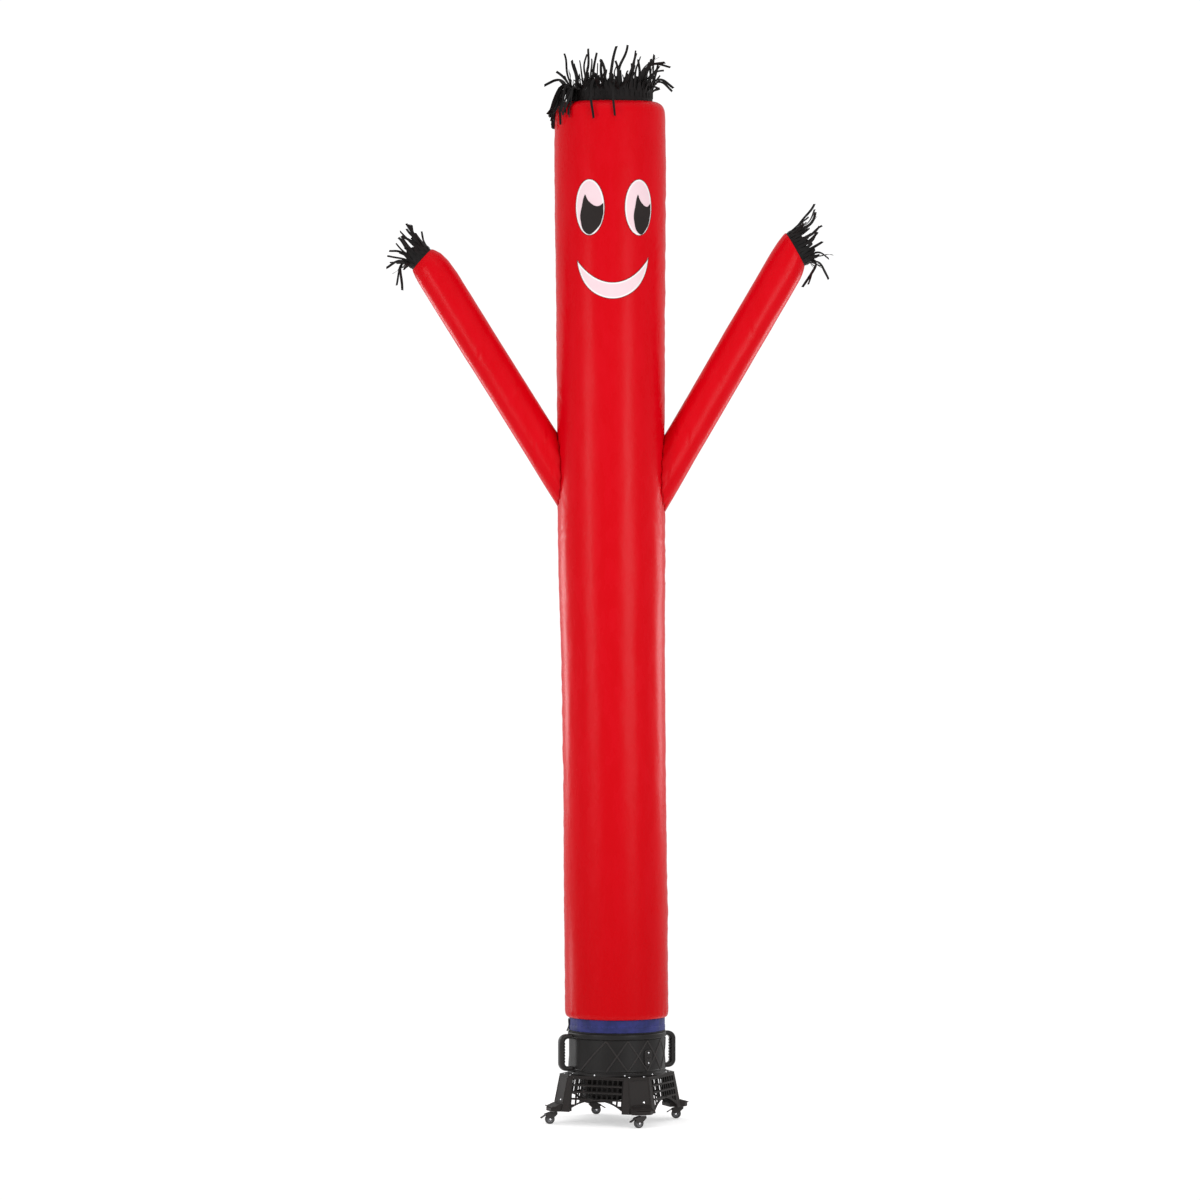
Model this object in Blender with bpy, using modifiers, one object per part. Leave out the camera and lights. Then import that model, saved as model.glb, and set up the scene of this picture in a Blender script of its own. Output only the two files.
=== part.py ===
"""Inflatable air dancer: an upright cloth tube with arms, a face and fringe, standing on a fan blower.

Metres, +Z up. The face looks along -Y. The origin is on the floor, under the middle of the whole part.
"""
import math
import random

import bmesh
import bpy
from mathutils import Matrix, Vector

NAME = "air_dancer"
GAP = 0.0003  # clearance between two pieces that touch
BLOWER_X = 0.028  # the blower's axis stands this far beside the middle of the whole part

# Cloth tube
CLOTH = 0.0015  # wall of the inflated cloth
TUBE_SIDES = 32
BODY_RINGS = 9
# height, sideways lean of the centre line, diameter
TORSO_SECTIONS = (
    (0.317, 0.000, 0.2945),
    (0.610, -0.003, 0.2950),
    (0.970, -0.007, 0.2925),
    (1.320, -0.011, 0.2955),
    (1.560, -0.014, 0.3040),
    (1.900, -0.017, 0.3070),
    (2.320, -0.0185, 0.3105),
    (2.700, -0.020, 0.3170),
    (2.861, -0.021, 0.3140),
)
TORSO_FOOT_Z = 0.2978
TORSO_FOOT_RADIUS = 0.1325  # inner edge of the turned-in bottom, over the cuff
FOOT_FLAT_RADIUS = 0.1390
FOOT_ROLL_HEIGHT = 0.0192
FOOT_ROLL_STEPS = 3
SHOULDER_RADIUS = 0.030
SHOULDER_STEPS = 4
ARM_CUT_REACH = 0.20  # how far past the torso wall the arm's air hole is cut

# Arms: height and side of the point where the centre line leaves the torso, and of the hand end
ARM_SIDES = 24
ARM_ROOTS = {"left": Vector((-0.170, 0.0, 1.852)), "right": Vector((0.136, 0.0, 1.840))}
ARM_ENDS = {"left": Vector((-0.545, 0.0, 2.451)), "right": Vector((0.5055, 0.0, 2.474))}
ARM_INSIDE = 0.125  # how far inside the torso each arm starts, before it is trimmed
ARM_TRIM_SPAN = (1.0, 2.7)  # heights between which the torso's rings trim the arms
HAND_LIP = 0.0002  # the cloth at the hand's end turns in this far above its edge
# share of the arm's length, radius, tilt of the ring towards the outside, shift towards the outside
ARM_SECTIONS = {
    "left": (
        (0.00, 0.0560, 0.0, 0.000),
        (0.10, 0.0550, 0.0, 0.000),
        (0.40, 0.0545, 0.0, 0.000),
        (0.88, 0.0545, 2.0, 0.000),
        (0.935, 0.0530, 6.0, 0.001),
        (0.970, 0.0495, 11.0, 0.004),
        (0.992, 0.0435, 15.0, 0.008),
        (1.000, 0.0400, 16.0, 0.010),
    ),
    "right": (
        (0.00, 0.0565, 0.0, 0.000),
        (0.10, 0.0555, 0.0, 0.000),
        (0.40, 0.0550, 0.0, 0.000),
        (0.88, 0.0555, 6.0, 0.000),
        (0.930, 0.0565, 14.0, 0.000),
        (0.965, 0.0570, 22.0, 0.000),
        (0.990, 0.0560, 28.0, 0.000),
        (1.000, 0.0545, 30.0, 0.000),
    ),
}

# Fringe: bands of cloth whose upper edge is cut into strips
BAND = 0.0022
BEND_PER_STEP = math.radians(40)
FEWEST_STEPS = 2
HAIR_BAND_RADIUS = 0.1222
HAIR_BAND_HEIGHT = 0.030
HAIR_SLOTS = 48
HAIR_WIDTH = 0.0095
HAIR_SEED = 115
HAND_BAND_HEIGHT = 0.015
HAND_SLOTS = 16
HAND_WIDTH = 0.0090
HAND_SEEDS = {"left": 5, "right": 8}
# slot round the ring (0 at the front, rising towards +X): length, bend, heading off the outward line, settle
HAIR_LOCKS = {
    46: (0.164, 173, 0, 0.46),
    1: (0.154, 172, -8, 0.47),
    42: (0.150, 170, 4, 0.44),
    40: (0.176, 172, 6, 0.42),
    38: (0.186, 170, -4, 0.41),
    37: (0.150, 164, -5, 0.46),
    36: (0.164, 168, 4, 0.42),
    39: (0.128, 150, 3, 0.55),
    34: (0.128, 150, -6, 0.55),
    35: (0.096, 118, 0, 0.80),
    33: (0.104, 58, 4, 1.00),
    32: (0.122, 30, -8, 1.00),
    41: (0.088, 20, 0, 1.00),
    43: (0.118, 16, 80, 1.00),
    45: (0.108, 14, 75, 1.00),
    0: (0.124, 18, 85, 1.00),
    2: (0.132, 20, 80, 1.00),
    4: (0.112, 12, 60, 1.00),
    6: (0.120, 66, 20, 1.00),
    7: (0.126, 84, 8, 1.00),
    8: (0.142, 104, -4, 1.00),
    9: (0.088, 74, 0, 0.90),
    10: (0.098, 128, -4, 0.75),
    12: (0.088, 134, 4, 0.75),
}
# the left hand's strips stream up and out, the right hand's fan from straight on to hanging
HAND_LOCKS = {
    "left": {
        2: (0.076, 18, 0, 1.0),
        3: (0.088, 16, 0, 1.0),
        4: (0.046, 52, 0, 1.0),
        5: (0.084, 22, 0, 1.0),
        9: (0.086, 96, 10, 0.5),
        10: (0.082, 50, 4, 0.8),
        11: (0.104, 134, 4, 0.42),
        12: (0.076, 66, 0, 0.6),
        13: (0.094, 122, -6, 0.45),
        14: (0.080, 40, 0, 1.0),
    },
    "right": {
        2: (0.082, 54, 0, 0.8),
        3: (0.100, 140, -4, 0.42),
        4: (0.088, 96, 0, 0.6),
        5: (0.108, 148, 6, 0.40),
        6: (0.086, 62, 0, 0.8),
        7: (0.092, 120, 8, 0.45),
        10: (0.088, 26, 0, 1.0),
        11: (0.100, 35, 0, 1.0),
        12: (0.106, 38, 0, 1.0),
        13: (0.100, 33, 0, 1.0),
        14: (0.086, 24, 0, 1.0),
    },
}

# Face: sewn-on pieces, laid out as arc and height on the torso, from the middle of the face
FACE_TURN = math.radians(4.0)
FACE_RADIUS = 0.1565
FACE_CLOTH = 0.0012
PATCH_END = 0.0015  # height left at a sewn-on piece's pointed ends
EYE_Z = 2.5873
EYE_ARCS = {"left": -0.0700, "right": 0.0737}
EYE_HALF_WIDTH = 0.0422
EYE_HALF_HEIGHT = 0.0793
SMILE_ARC = -0.0014
SMILE_Z = 2.3760
SMILE_HALF_WIDTH = 0.1088
SMILE_TIP_LIFT = 0.0675
SMILE_DEPTH = 0.0465
SMILE_TILT = 0.040  # rise over arc: its right end is higher
SMILE_FULL = 6.5  # how far out the smile keeps its depth
SMILE_ROUND = 0.625
# pupil: arc and height from the middle of the eye
PUPIL_LEFT_EDGE = ((-0.0282, -0.0255), (-0.0253, -0.0109), (-0.0220, 0.0047), (-0.0188, 0.0217), (-0.0127, 0.0370))
PUPIL_BITE = (
    (-0.0127, 0.0370),
    (-0.0059, 0.0225),
    (0.0031, 0.0125),
    (0.0142, 0.0048),
    (0.0241, 0.0027),
    (0.0317, 0.0052),
    (0.0400, 0.0118),
)
PUPIL_BOTTOM = (
    (-0.0282, -0.0255),
    (-0.0258, -0.0420),
    (-0.0220, -0.0585),
    (-0.0156, -0.0680),
    (-0.0080, -0.0740),
    (0.0010, -0.0764),
    (0.0138, -0.0685),
    (0.0227, -0.0592),
    (0.0300, -0.0500),
    (0.0340, -0.0410),
    (0.0375, -0.0280),
    (0.0400, -0.0165),
)
PUPIL_FITS = {"left": (1.0, 0.0), "right": (0.8155, 0.0063)}  # each pupil's width and shift on its eye

# Cuff that ties the tube to the blower
CUFF_RADIUS = 0.1356
CUFF_WALL = 0.0023
CUFF_LOW = 0.2610
CUFF_HIGH = 0.2975
HEM_RADIUS = 0.1372
HEM_LOW = 0.2566
HEM_HIGH = 0.2607
TAB_WIDTH = 0.020
TAB_THICKNESS = 0.0024
TAB_LENGTH = 0.036
TAB_EDGE = 0.0006
TAB_ANGLE = math.radians(187)

# Blower
DRUM_SIDES = 36
DRUM_RADIUS = 0.1365
DRUM_WALL = 0.0030
DRUM_FLANGE_RADIUS = 0.1400
DRUM_LIP_RADIUS = 0.1395
NECK_RADIUS = 0.1328
DRUM_LOW = 0.1385
FLANGE_HIGH = 0.1460
LIP_LOW = 0.2430
LIP_HIGH = 0.2563
NECK_HIGH = 0.2970
CORNER_ANGLE = math.radians(21.4)  # of the right-hand corner of the square base
INLET_ANGLE = math.radians(-51)
INLET_Z = 0.190
INLET_WIDTH = 0.024
INLET_HEIGHT = 0.044
INLET_THICKNESS = 0.004
INLET_CORNER = 0.007
INLET_EDGE = 0.0008

HANDLE_LOW = 0.1480
HANDLE_HIGH = 0.2520
HANDLE_OUT = 0.1770
HANDLE_GRIP = 0.0160
HANDLE_ARM = 0.0128
HANDLE_WIDTH = 0.0220
HANDLE_STAND_OFF = 0.0033
HANDLE_CORNER = 0.0220
HANDLE_EDGE = 0.0022
FINGER_CORNER = 0.0100
HANDLE_FINGERS = 4
HANDLE_BUMP = 0.0016

FAN_GUARD_RADIUS = 0.1325
FAN_GUARD_RIM = 0.0070
FAN_GUARD_HUB = 0.0540
FAN_GUARD_ARMS = 6
FAN_GUARD_ARM = 0.0080
FAN_GUARD_THICKNESS = 0.0030
MOTOR_RADIUS = 0.0450
MOTOR_HEIGHT = 0.0640
IMPELLER_HUB = 0.0460
IMPELLER_TIP = 0.1240
IMPELLER_HEIGHT = 0.0300
IMPELLER_BLADES = 5
MOTOR_SIDES = 24
IMPELLER_SIDES = 20
BLADE_THICKNESS = 0.0030
BLADE_CHORD = 0.0390
BLADE_ROOT = 0.0060  # how far each blade reaches into the hub
BLADE_PITCH = math.radians(38)

# Base: a square skirt with cut corners; half sides and corner reach at its top and foot
DECK_HIGH = 0.1382
DECK_THICKNESS = 0.0042
DECK_HOLE = 0.1180
SKIRT_TOP = 0.1337
SKIRT_FOOT = 0.0370
SIDE_TOP = 0.1380
SIDE_FOOT = 0.1535
CORNER_TOP = 0.1620
CORNER_FOOT = 0.1820
SKIRT_WALL = 0.0030
GRILLE_HALF = 0.0800
GRILLE_COLUMNS = 10
GRILLE_ROWS = 4
GRILLE_PITCH = 0.0158
GRILLE_ROW_PITCH = 0.0190
GRILLE_HOLE = 0.0110
GRILLE_HOLE_HEIGHT = 0.0142
GRILLE_TOP_RAIL = 0.0050
GRILLE_SHORTEST = 0.0040  # a hole that the arch would leave shorter than this is left out
ARCH_RADIUS = 0.1370
ARCH_PEAK = 0.0705
ARCH_RIM = 0.0045
ARCH_STEPS = 10
FOOT_IN = 0.1500
FOOT_OUT = 0.2080
FOOT_WIDTH = 0.0620
FOOT_CORNER = 0.0130  # cut off both corners of the nose, seen from above
FOOT_THICKNESS = 0.0095
FOOT_SLOPE = 0.0120  # rise of the foot's top, up to the skirt
FOOT_NOSE = (0.0060, 0.0040)
FOOT_RIDGE = 0.0040

# Casters: distance of the swivel axis from the blower's, and the way each one trails
CASTER_REACH = 0.1930
CASTER_HEADINGS = {"right": 172.0, "back": 12.0, "left": 196.0, "front": 204.0}
CASTER_CORNERS = {"right": 0, "back": 1, "left": 2, "front": 3}
WHEEL_RADIUS = 0.0135
WHEEL_WIDTH = 0.0110
WHEEL_SIDES = 16
WHEEL_BORE = 0.0029
TREAD_EDGE = 0.0022
TREAD_DROP = 0.0018
AXLE_RADIUS = 0.0025
TRAIL = 0.0110
FORK_WIDTH = 0.0165
FORK_SLOT = 0.0118
FORK_LOW_EYE = 0.0050
FORK_SLOT_TOP = 0.0292
SLOT_SIZE = 0.0600
EAR_SLOT = 0.0200  # length of the slot that opens the fork between its ears, up through the crown
FORK_TOP = 0.0335
FORK_EAR = 0.0032
CROWN_FRONT = 0.0095
CROWN_LOW = 0.0272
SWIVEL_DISC = 0.0105
SWIVEL_DISC_HIGH = 0.0367
DISC_ROOT = 0.0020  # how far the swivel disc and stem reach into the fork's crown
STEM_RADIUS = 0.0035
STEM_TOP = 0.0427
PIN_LENGTH = 0.0155
SHAFT_SIDES = 10
PIN_SIDES = 8
PEDAL_BACK = 0.0225
PEDAL_Z = 0.0268
PEDAL_EYE = 0.0026
PEDAL_BORE = 0.0013
PEDAL_PIN = 0.0010
PEDAL_LENGTH = 0.0165
PEDAL_WIDTH = 0.0108
PEDAL_THICKNESS = 0.0026
PEDAL_DROP = math.radians(32)

# name: colour, roughness, metallic
MATERIALS = {
    "red_nylon": ((0.62, 0.002, 0.008), 0.50, 0.0),
    "black_nylon": ((0.018, 0.015, 0.015), 0.60, 0.0),
    "white_nylon": ((0.90, 0.72, 0.76), 0.60, 0.0),
    "blue_nylon": ((0.035, 0.045, 0.22), 0.60, 0.0),
    "black_webbing": ((0.012, 0.012, 0.012), 0.80, 0.0),
    "black_plastic": ((0.022, 0.019, 0.018), 0.45, 0.0),
    "motor_steel": ((0.30, 0.30, 0.31), 0.40, 1.0),
    "caster_rubber": ((0.020, 0.020, 0.020), 0.55, 0.0),
}


def clear_scene():
    for obj in list(bpy.data.objects):
        bpy.data.objects.remove(obj, do_unlink=True)


def make_material(name):
    colour, roughness, metallic = MATERIALS[name]
    material = bpy.data.materials.new(name)
    material.use_nodes = True
    shader = material.node_tree.nodes["Principled BSDF"]
    shader.inputs["Base Color"].default_value = (*colour, 1.0)
    shader.inputs["Roughness"].default_value = roughness
    shader.inputs["Metallic"].default_value = metallic
    return material


class Workshop:
    """The two collections, the materials, and the empty that carries every piece."""

    def __init__(self):
        self.parts = bpy.data.collections.new(NAME)
        self.cutters = bpy.data.collections.new("cutters")
        for collection in (self.parts, self.cutters):
            bpy.context.scene.collection.children.link(collection)
        self.materials = {name: make_material(name) for name in MATERIALS}
        self.stand = self.empty("stand", Matrix.Translation((BLOWER_X, 0.0, 0.0)), None)

    def empty(self, name, matrix, parent):
        obj = bpy.data.objects.new(name, None)
        self.parts.objects.link(obj)
        obj.parent = parent
        obj.matrix_local = matrix
        return obj

    def piece(self, name, mesh, material, parent=None, matrix=None):
        obj = bpy.data.objects.new(name, mesh)
        mesh.name = name
        mesh.materials.clear()
        mesh.materials.append(self.materials[material])
        self.parts.objects.link(obj)
        obj.parent = parent or self.stand
        obj.matrix_local = matrix or Matrix.Identity(4)
        return obj

    def cutter(self, name, mesh, parent=None, matrix=None):
        obj = bpy.data.objects.new(name, mesh)
        self.cutters.objects.link(obj)
        obj.parent = parent or self.stand
        obj.matrix_local = matrix or Matrix.Identity(4)
        obj.hide_render = True
        obj.display_type = "WIRE"
        return obj


def boolean(obj, cutter, operation="DIFFERENCE"):
    modifier = obj.modifiers.new(cutter.name, "BOOLEAN")
    modifier.operation = operation
    modifier.solver = "EXACT"
    modifier.object = cutter


def solidify(obj, thickness, offset):
    modifier = obj.modifiers.new("wall", "SOLIDIFY")
    modifier.thickness = thickness
    modifier.offset = offset
    modifier.use_even_offset = True


def bevel(obj, width, segments=1):
    modifier = obj.modifiers.new("edges", "BEVEL")
    modifier.width = width
    modifier.segments = segments
    modifier.limit_method = "ANGLE"


def finished_mesh(bm, smooth=True):
    mesh = bpy.data.meshes.new("mesh")
    bm.to_mesh(mesh)
    bm.free()
    if smooth:
        mesh.shade_smooth()
        mesh.set_sharp_from_angle(angle=math.radians(40))
    return mesh


def blend(rows, x, column=1):
    """The value of a column at x, on straight lines between the rows, whose first column rises."""
    if x <= rows[0][0]:
        return rows[0][column]
    for low, high in zip(rows, rows[1:]):
        if x <= high[0]:
            share = (x - low[0]) / (high[0] - low[0])
            return low[column] + share * (high[column] - low[column])
    return rows[-1][column]


def ease(t):
    t = min(max(t, 0.0), 1.0)
    return t * t * (3 - 2 * t)


def loft(bm, loops, wrap=False, cap=False):
    """Quads between neighbouring loops of points. wrap joins the last to the first; cap fills both ends."""
    rings = [[bm.verts.new(point) for point in loop] for loop in loops]
    pairs = list(zip(rings, rings[1:]))
    if wrap:
        pairs.append((rings[-1], rings[0]))
    rows = []
    for low, high in pairs:
        count = len(low)
        row = []
        for j in range(count):
            k = (j + 1) % count
            row.append(bm.faces.new((low[j], low[k], high[k], high[j])))
        rows.append(row)
    if cap:
        bm.faces.new(list(reversed(rings[0])))
        bm.faces.new(rings[-1])
    return rows


def circle(centre, normal, radius, sides):
    """A loop of points round a normal that lies in the XZ plane."""
    across = Vector((normal.z, 0.0, -normal.x))
    points = []
    for j in range(sides):
        turn = 2 * math.pi * j / sides
        points.append(centre + radius * (math.cos(turn) * across + math.sin(turn) * Vector((0, 1, 0))))
    return points


def turned_mesh(profile, sides):
    """A ring turned from a closed outline of (radius, height) points, outer side first."""
    mesh = bpy.data.meshes.new("profile")
    count = len(profile)
    edges = [(i, (i + 1) % count) for i in range(count)]
    mesh.from_pydata([(radius, 0.0, height) for radius, height in profile], edges, [])
    obj = bpy.data.objects.new("profile", mesh)
    bpy.context.scene.collection.objects.link(obj)
    screw = obj.modifiers.new("turn", "SCREW")
    screw.steps = sides
    screw.render_steps = sides
    screw.use_merge_vertices = True
    screw.merge_threshold = 0.00002
    turned = mesh_of(obj)
    bpy.data.objects.remove(obj, do_unlink=True)
    return turned


def mesh_of(obj):
    """The evaluated mesh of an object, as a mesh of its own."""
    bpy.context.view_layer.update()
    depsgraph = bpy.context.evaluated_depsgraph_get()
    return bpy.data.meshes.new_from_object(obj.evaluated_get(depsgraph))


def outline_mesh(outlines, thickness):
    """A flat plate in the XY plane. The first outline is its edge and the others are its holes."""
    curve = bpy.data.curves.new("outline", "CURVE")
    curve.dimensions = "2D"
    curve.fill_mode = "BOTH"
    curve.extrude = thickness / 2
    for points in outlines:
        spline = curve.splines.new("POLY")
        spline.points.add(len(points) - 1)
        for spot, (x, y) in zip(spline.points, points):
            spot.co = (x, y, 0.0, 1.0)
        spline.use_cyclic_u = True
    obj = bpy.data.objects.new("outline", curve)
    bpy.context.scene.collection.objects.link(obj)
    mesh = mesh_of(obj)
    bpy.data.objects.remove(obj, do_unlink=True)
    bm = bmesh.new()
    bm.from_mesh(mesh)
    bmesh.ops.remove_doubles(bm, verts=bm.verts, dist=0.00002)
    bmesh.ops.recalc_face_normals(bm, faces=bm.faces)
    return finished_mesh(bm, smooth=False)


def box_mesh(size, centre):
    bm = bmesh.new()
    bmesh.ops.create_cube(bm, size=1.0, matrix=Matrix.Translation(centre) @ Matrix.Diagonal((*size, 1.0)))
    return finished_mesh(bm, smooth=False)


def rod_mesh(radius, length, sides, matrix):
    """A plain cylinder along the matrix's own Z, centred on its origin."""
    bm = bmesh.new()
    bmesh.ops.create_cone(
        bm, cap_ends=True, segments=sides, radius1=radius, radius2=radius, depth=length, matrix=matrix
    )
    return finished_mesh(bm)


# ---------------------------------------------------------------- torso and arms


def torso_rings():
    """(height, lean, radius) from the turned-in foot up to the turned-in crown."""
    rings = [(TORSO_FOOT_Z, 0.0, TORSO_FOOT_RADIUS), (TORSO_FOOT_Z, 0.0, FOOT_FLAT_RADIUS)]
    full = TORSO_SECTIONS[0][2] / 2
    for i in range(1, FOOT_ROLL_STEPS):
        turn = math.pi / 2 * i / FOOT_ROLL_STEPS
        radius = FOOT_FLAT_RADIUS + (full - FOOT_FLAT_RADIUS) * math.sin(turn)
        rings.append((TORSO_FOOT_Z + FOOT_ROLL_HEIGHT * (1 - math.cos(turn)), 0.0, radius))
    low = TORSO_SECTIONS[0][0]
    high = TORSO_SECTIONS[-1][0]
    for i in range(BODY_RINGS + 1):
        z = low + (high - low) * i / BODY_RINGS
        rings.append((z, blend(TORSO_SECTIONS, z), blend(TORSO_SECTIONS, z, 2) / 2))
    _, lean, head = rings[-1]
    for i in range(1, SHOULDER_STEPS + 1):
        turn = math.pi / 2 * i / SHOULDER_STEPS
        radius = head - SHOULDER_RADIUS * (1 - math.cos(turn))
        rings.append((high + SHOULDER_RADIUS * math.sin(turn), lean, radius))
    rings.append((high + SHOULDER_RADIUS, lean, HAIR_BAND_RADIUS - BAND))
    return rings


def torso_point(turn, z, offset):
    """A point on the torso's flat-sided wall, pushed out by an offset. turn is measured from +X."""
    low, high = next(pair for pair in zip(RINGS, RINGS[1:]) if pair[0][0] <= z < pair[1][0])
    share = (z - low[0]) / (high[0] - low[0])
    lean = low[1] + share * (high[1] - low[1])
    radius = low[2] + share * (high[2] - low[2])
    side = 2 * math.pi / TUBE_SIDES
    from_middle = (turn % side) - side / 2
    reach = radius * math.cos(side / 2) / math.cos(from_middle) + offset
    return Vector((lean + reach * math.cos(turn), reach * math.sin(turn), z))


def make_torso(shop):
    bm = bmesh.new()
    up = Vector((0, 0, 1))
    loft(bm, [circle(Vector((lean, 0, z)), up, radius, TUBE_SIDES) for z, lean, radius in RINGS])
    torso = shop.piece("torso_tube", finished_mesh(bm), "red_nylon")
    solidify(torso, CLOTH, -1.0)
    return torso


def make_torso_core(shop):
    """The torso's outside as a plain solid, a hair larger, which trims the arms to its wall."""
    bm = bmesh.new()
    up = Vector((0, 0, 1))
    body = [ring for ring in RINGS if ARM_TRIM_SPAN[0] < ring[0] < ARM_TRIM_SPAN[1]]
    loops = [circle(Vector((lean, 0, z)), up, radius + GAP, TUBE_SIDES) for z, lean, radius in body]
    loft(bm, loops, cap=True)
    return shop.cutter("torso_core", finished_mesh(bm))


def arm_rings(side, inward):
    """Rings of an arm from inside the torso to the hand, each drawn in by a distance."""
    root = ARM_ROOTS[side]
    along = ARM_ENDS[side] - root
    length = along.length
    along.normalize()
    lean = math.atan2(along.x, along.z)
    outward = math.copysign(1.0, along.x)
    rows = ARM_SECTIONS[side]
    rings = [(root - ARM_INSIDE * along, along, rows[0][1] - inward)]
    for share, radius, tilt, shift in rows:
        turn = lean + outward * math.radians(tilt)
        normal = Vector((math.sin(turn), 0.0, math.cos(turn)))
        across = outward * Vector((along.z, 0.0, -along.x))
        rings.append((root + share * length * along + shift * across, normal, radius - inward))
    return rings


def hand_frame(side):
    """A frame on the middle of the arm's open end, with Z along the hand."""
    centre, normal, radius = arm_rings(side, 0.0)[-1]
    across = Vector((normal.z, 0.0, -normal.x))
    axes = Matrix((across, Vector((0, 1, 0)), normal)).transposed().to_4x4()
    return Matrix.Translation(centre) @ axes, radius


def make_arm(shop, side, torso, torso_core):
    rings = arm_rings(side, 0.0)
    centre, normal, radius = rings[-1]
    rings.append((centre + HAND_LIP * normal, normal, radius - 2 * BAND))
    bm = bmesh.new()
    loft(bm, [circle(*ring, ARM_SIDES) for ring in rings])
    arm = shop.piece(f"arm_{side}", finished_mesh(bm), "red_nylon")
    solidify(arm, CLOTH, -1.0)
    boolean(arm, torso_core)
    bm = bmesh.new()
    start, root = arm_rings(side, CLOTH)[:2]
    centre, normal, radius = root
    past_wall = (centre + ARM_CUT_REACH * normal, normal, radius)
    loft(bm, [circle(*ring, ARM_SIDES) for ring in (start, root, past_wall)], cap=True)
    boolean(torso, shop.cutter(f"arm_{side}_air", finished_mesh(bm)))


# ---------------------------------------------------------------- fringe


def strip_frames(root, length, bend, heading, settle, twist, sway):
    """Frames along a strip that leaves its root along Z and turns over towards its heading."""
    axes = root.to_3x3()
    out = axes @ Vector((math.sin(heading), -math.cos(heading), 0.0))
    hinge = axes.col[2].cross(out)
    point = root.translation.copy()
    frames = []
    steps = FEWEST_STEPS + max(1, round(bend / BEND_PER_STEP))
    for i in range(1, steps + 1):
        middle = (i - 0.5) / steps
        end = i / steps
        turned = Matrix.Rotation(bend * ease(middle / settle), 3, hinge)
        point = point + (turned @ axes.col[2]) * (length / steps)
        at_end = Matrix.Rotation(bend * ease(end / settle), 3, hinge)
        swung = Matrix.Rotation(sway * math.sin(2 * math.pi * end), 3, out)
        around = at_end @ swung @ axes @ Matrix.Rotation(twist * end, 3, "Z")
        frames.append(Matrix.Translation(point) @ around.to_4x4())
    return frames


def fringe_mesh(radius, height, strips, width):
    """A band round Z whose upper edge runs out into strips, one for each slot."""
    half = width / radius / 2
    slots = len(strips)
    turns = []
    for slot in range(slots):
        middle = -math.pi / 2 + 2 * math.pi * slot / slots
        turns += [middle - half, middle + half]
    inner = radius - BAND
    outline = ((radius, 0.0), (radius, height), (inner, height), (inner, 0.0))
    bm = bmesh.new()
    loops = [[Vector((r * math.cos(t), r * math.sin(t), z)) for t in turns] for r, z in outline]
    top_row = loft(bm, loops, wrap=True)[1]
    for slot, strip in enumerate(strips):
        middle = -math.pi / 2 + 2 * math.pi * slot / slots
        radial = Vector((math.cos(middle), math.sin(middle), 0.0))
        tangent = Vector((-radial.y, radial.x, 0.0))
        axes = Matrix((tangent, -radial, Vector((0, 0, 1)))).transposed().to_4x4()
        last = Matrix.Translation((radius - BAND / 2) * radial + Vector((0, 0, height))) @ axes
        face = top_row[2 * slot]
        for frame in strip_frames(last, *strip):
            face = bmesh.ops.extrude_discrete_faces(bm, faces=[face])["faces"][0]
            bmesh.ops.transform(bm, matrix=frame @ last.inverted(), verts=face.verts)
            last = frame
    bmesh.ops.recalc_face_normals(bm, faces=bm.faces)
    return finished_mesh(bm, smooth=False)


def strips_for(slots, locks, seed, lengths, bends, headings):
    """One row for each slot: the named locks, and loose ones between them drawn within these ranges."""
    rng = random.Random(seed)
    strips = []
    for slot in range(slots):
        loose = (rng.uniform(*lengths), rng.uniform(*bends), rng.uniform(-headings, headings), 1.0)
        twist = rng.uniform(-0.5, 0.5)
        sway = rng.uniform(-0.22, 0.22)
        length, bend, heading, settle = locks.get(slot, loose)
        strips.append((length, math.radians(bend), math.radians(heading), settle, twist, sway))
    return strips


def make_hair(shop):
    z, lean, _ = RINGS[-1]
    strips = strips_for(HAIR_SLOTS, HAIR_LOCKS, HAIR_SEED, (0.074, 0.118), (6, 40), 60)
    mesh = fringe_mesh(HAIR_BAND_RADIUS, HAIR_BAND_HEIGHT, strips, HAIR_WIDTH)
    shop.piece("hair_fringe", mesh, "black_nylon", matrix=Matrix.Translation((lean, 0.0, z + GAP)))


def make_hand(shop, side):
    frame, radius = hand_frame(side)
    strips = strips_for(HAND_SLOTS, HAND_LOCKS[side], HAND_SEEDS[side], (0.064, 0.086), (12, 50), 40)
    mesh = fringe_mesh(radius - BAND / 2, HAND_BAND_HEIGHT, strips, HAND_WIDTH)
    lift = Matrix.Translation((0.0, 0.0, HAND_LIP + GAP))
    shop.piece(f"hand_fringe_{side}", mesh, "black_nylon", matrix=frame @ lift)


# ---------------------------------------------------------------- face


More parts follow.
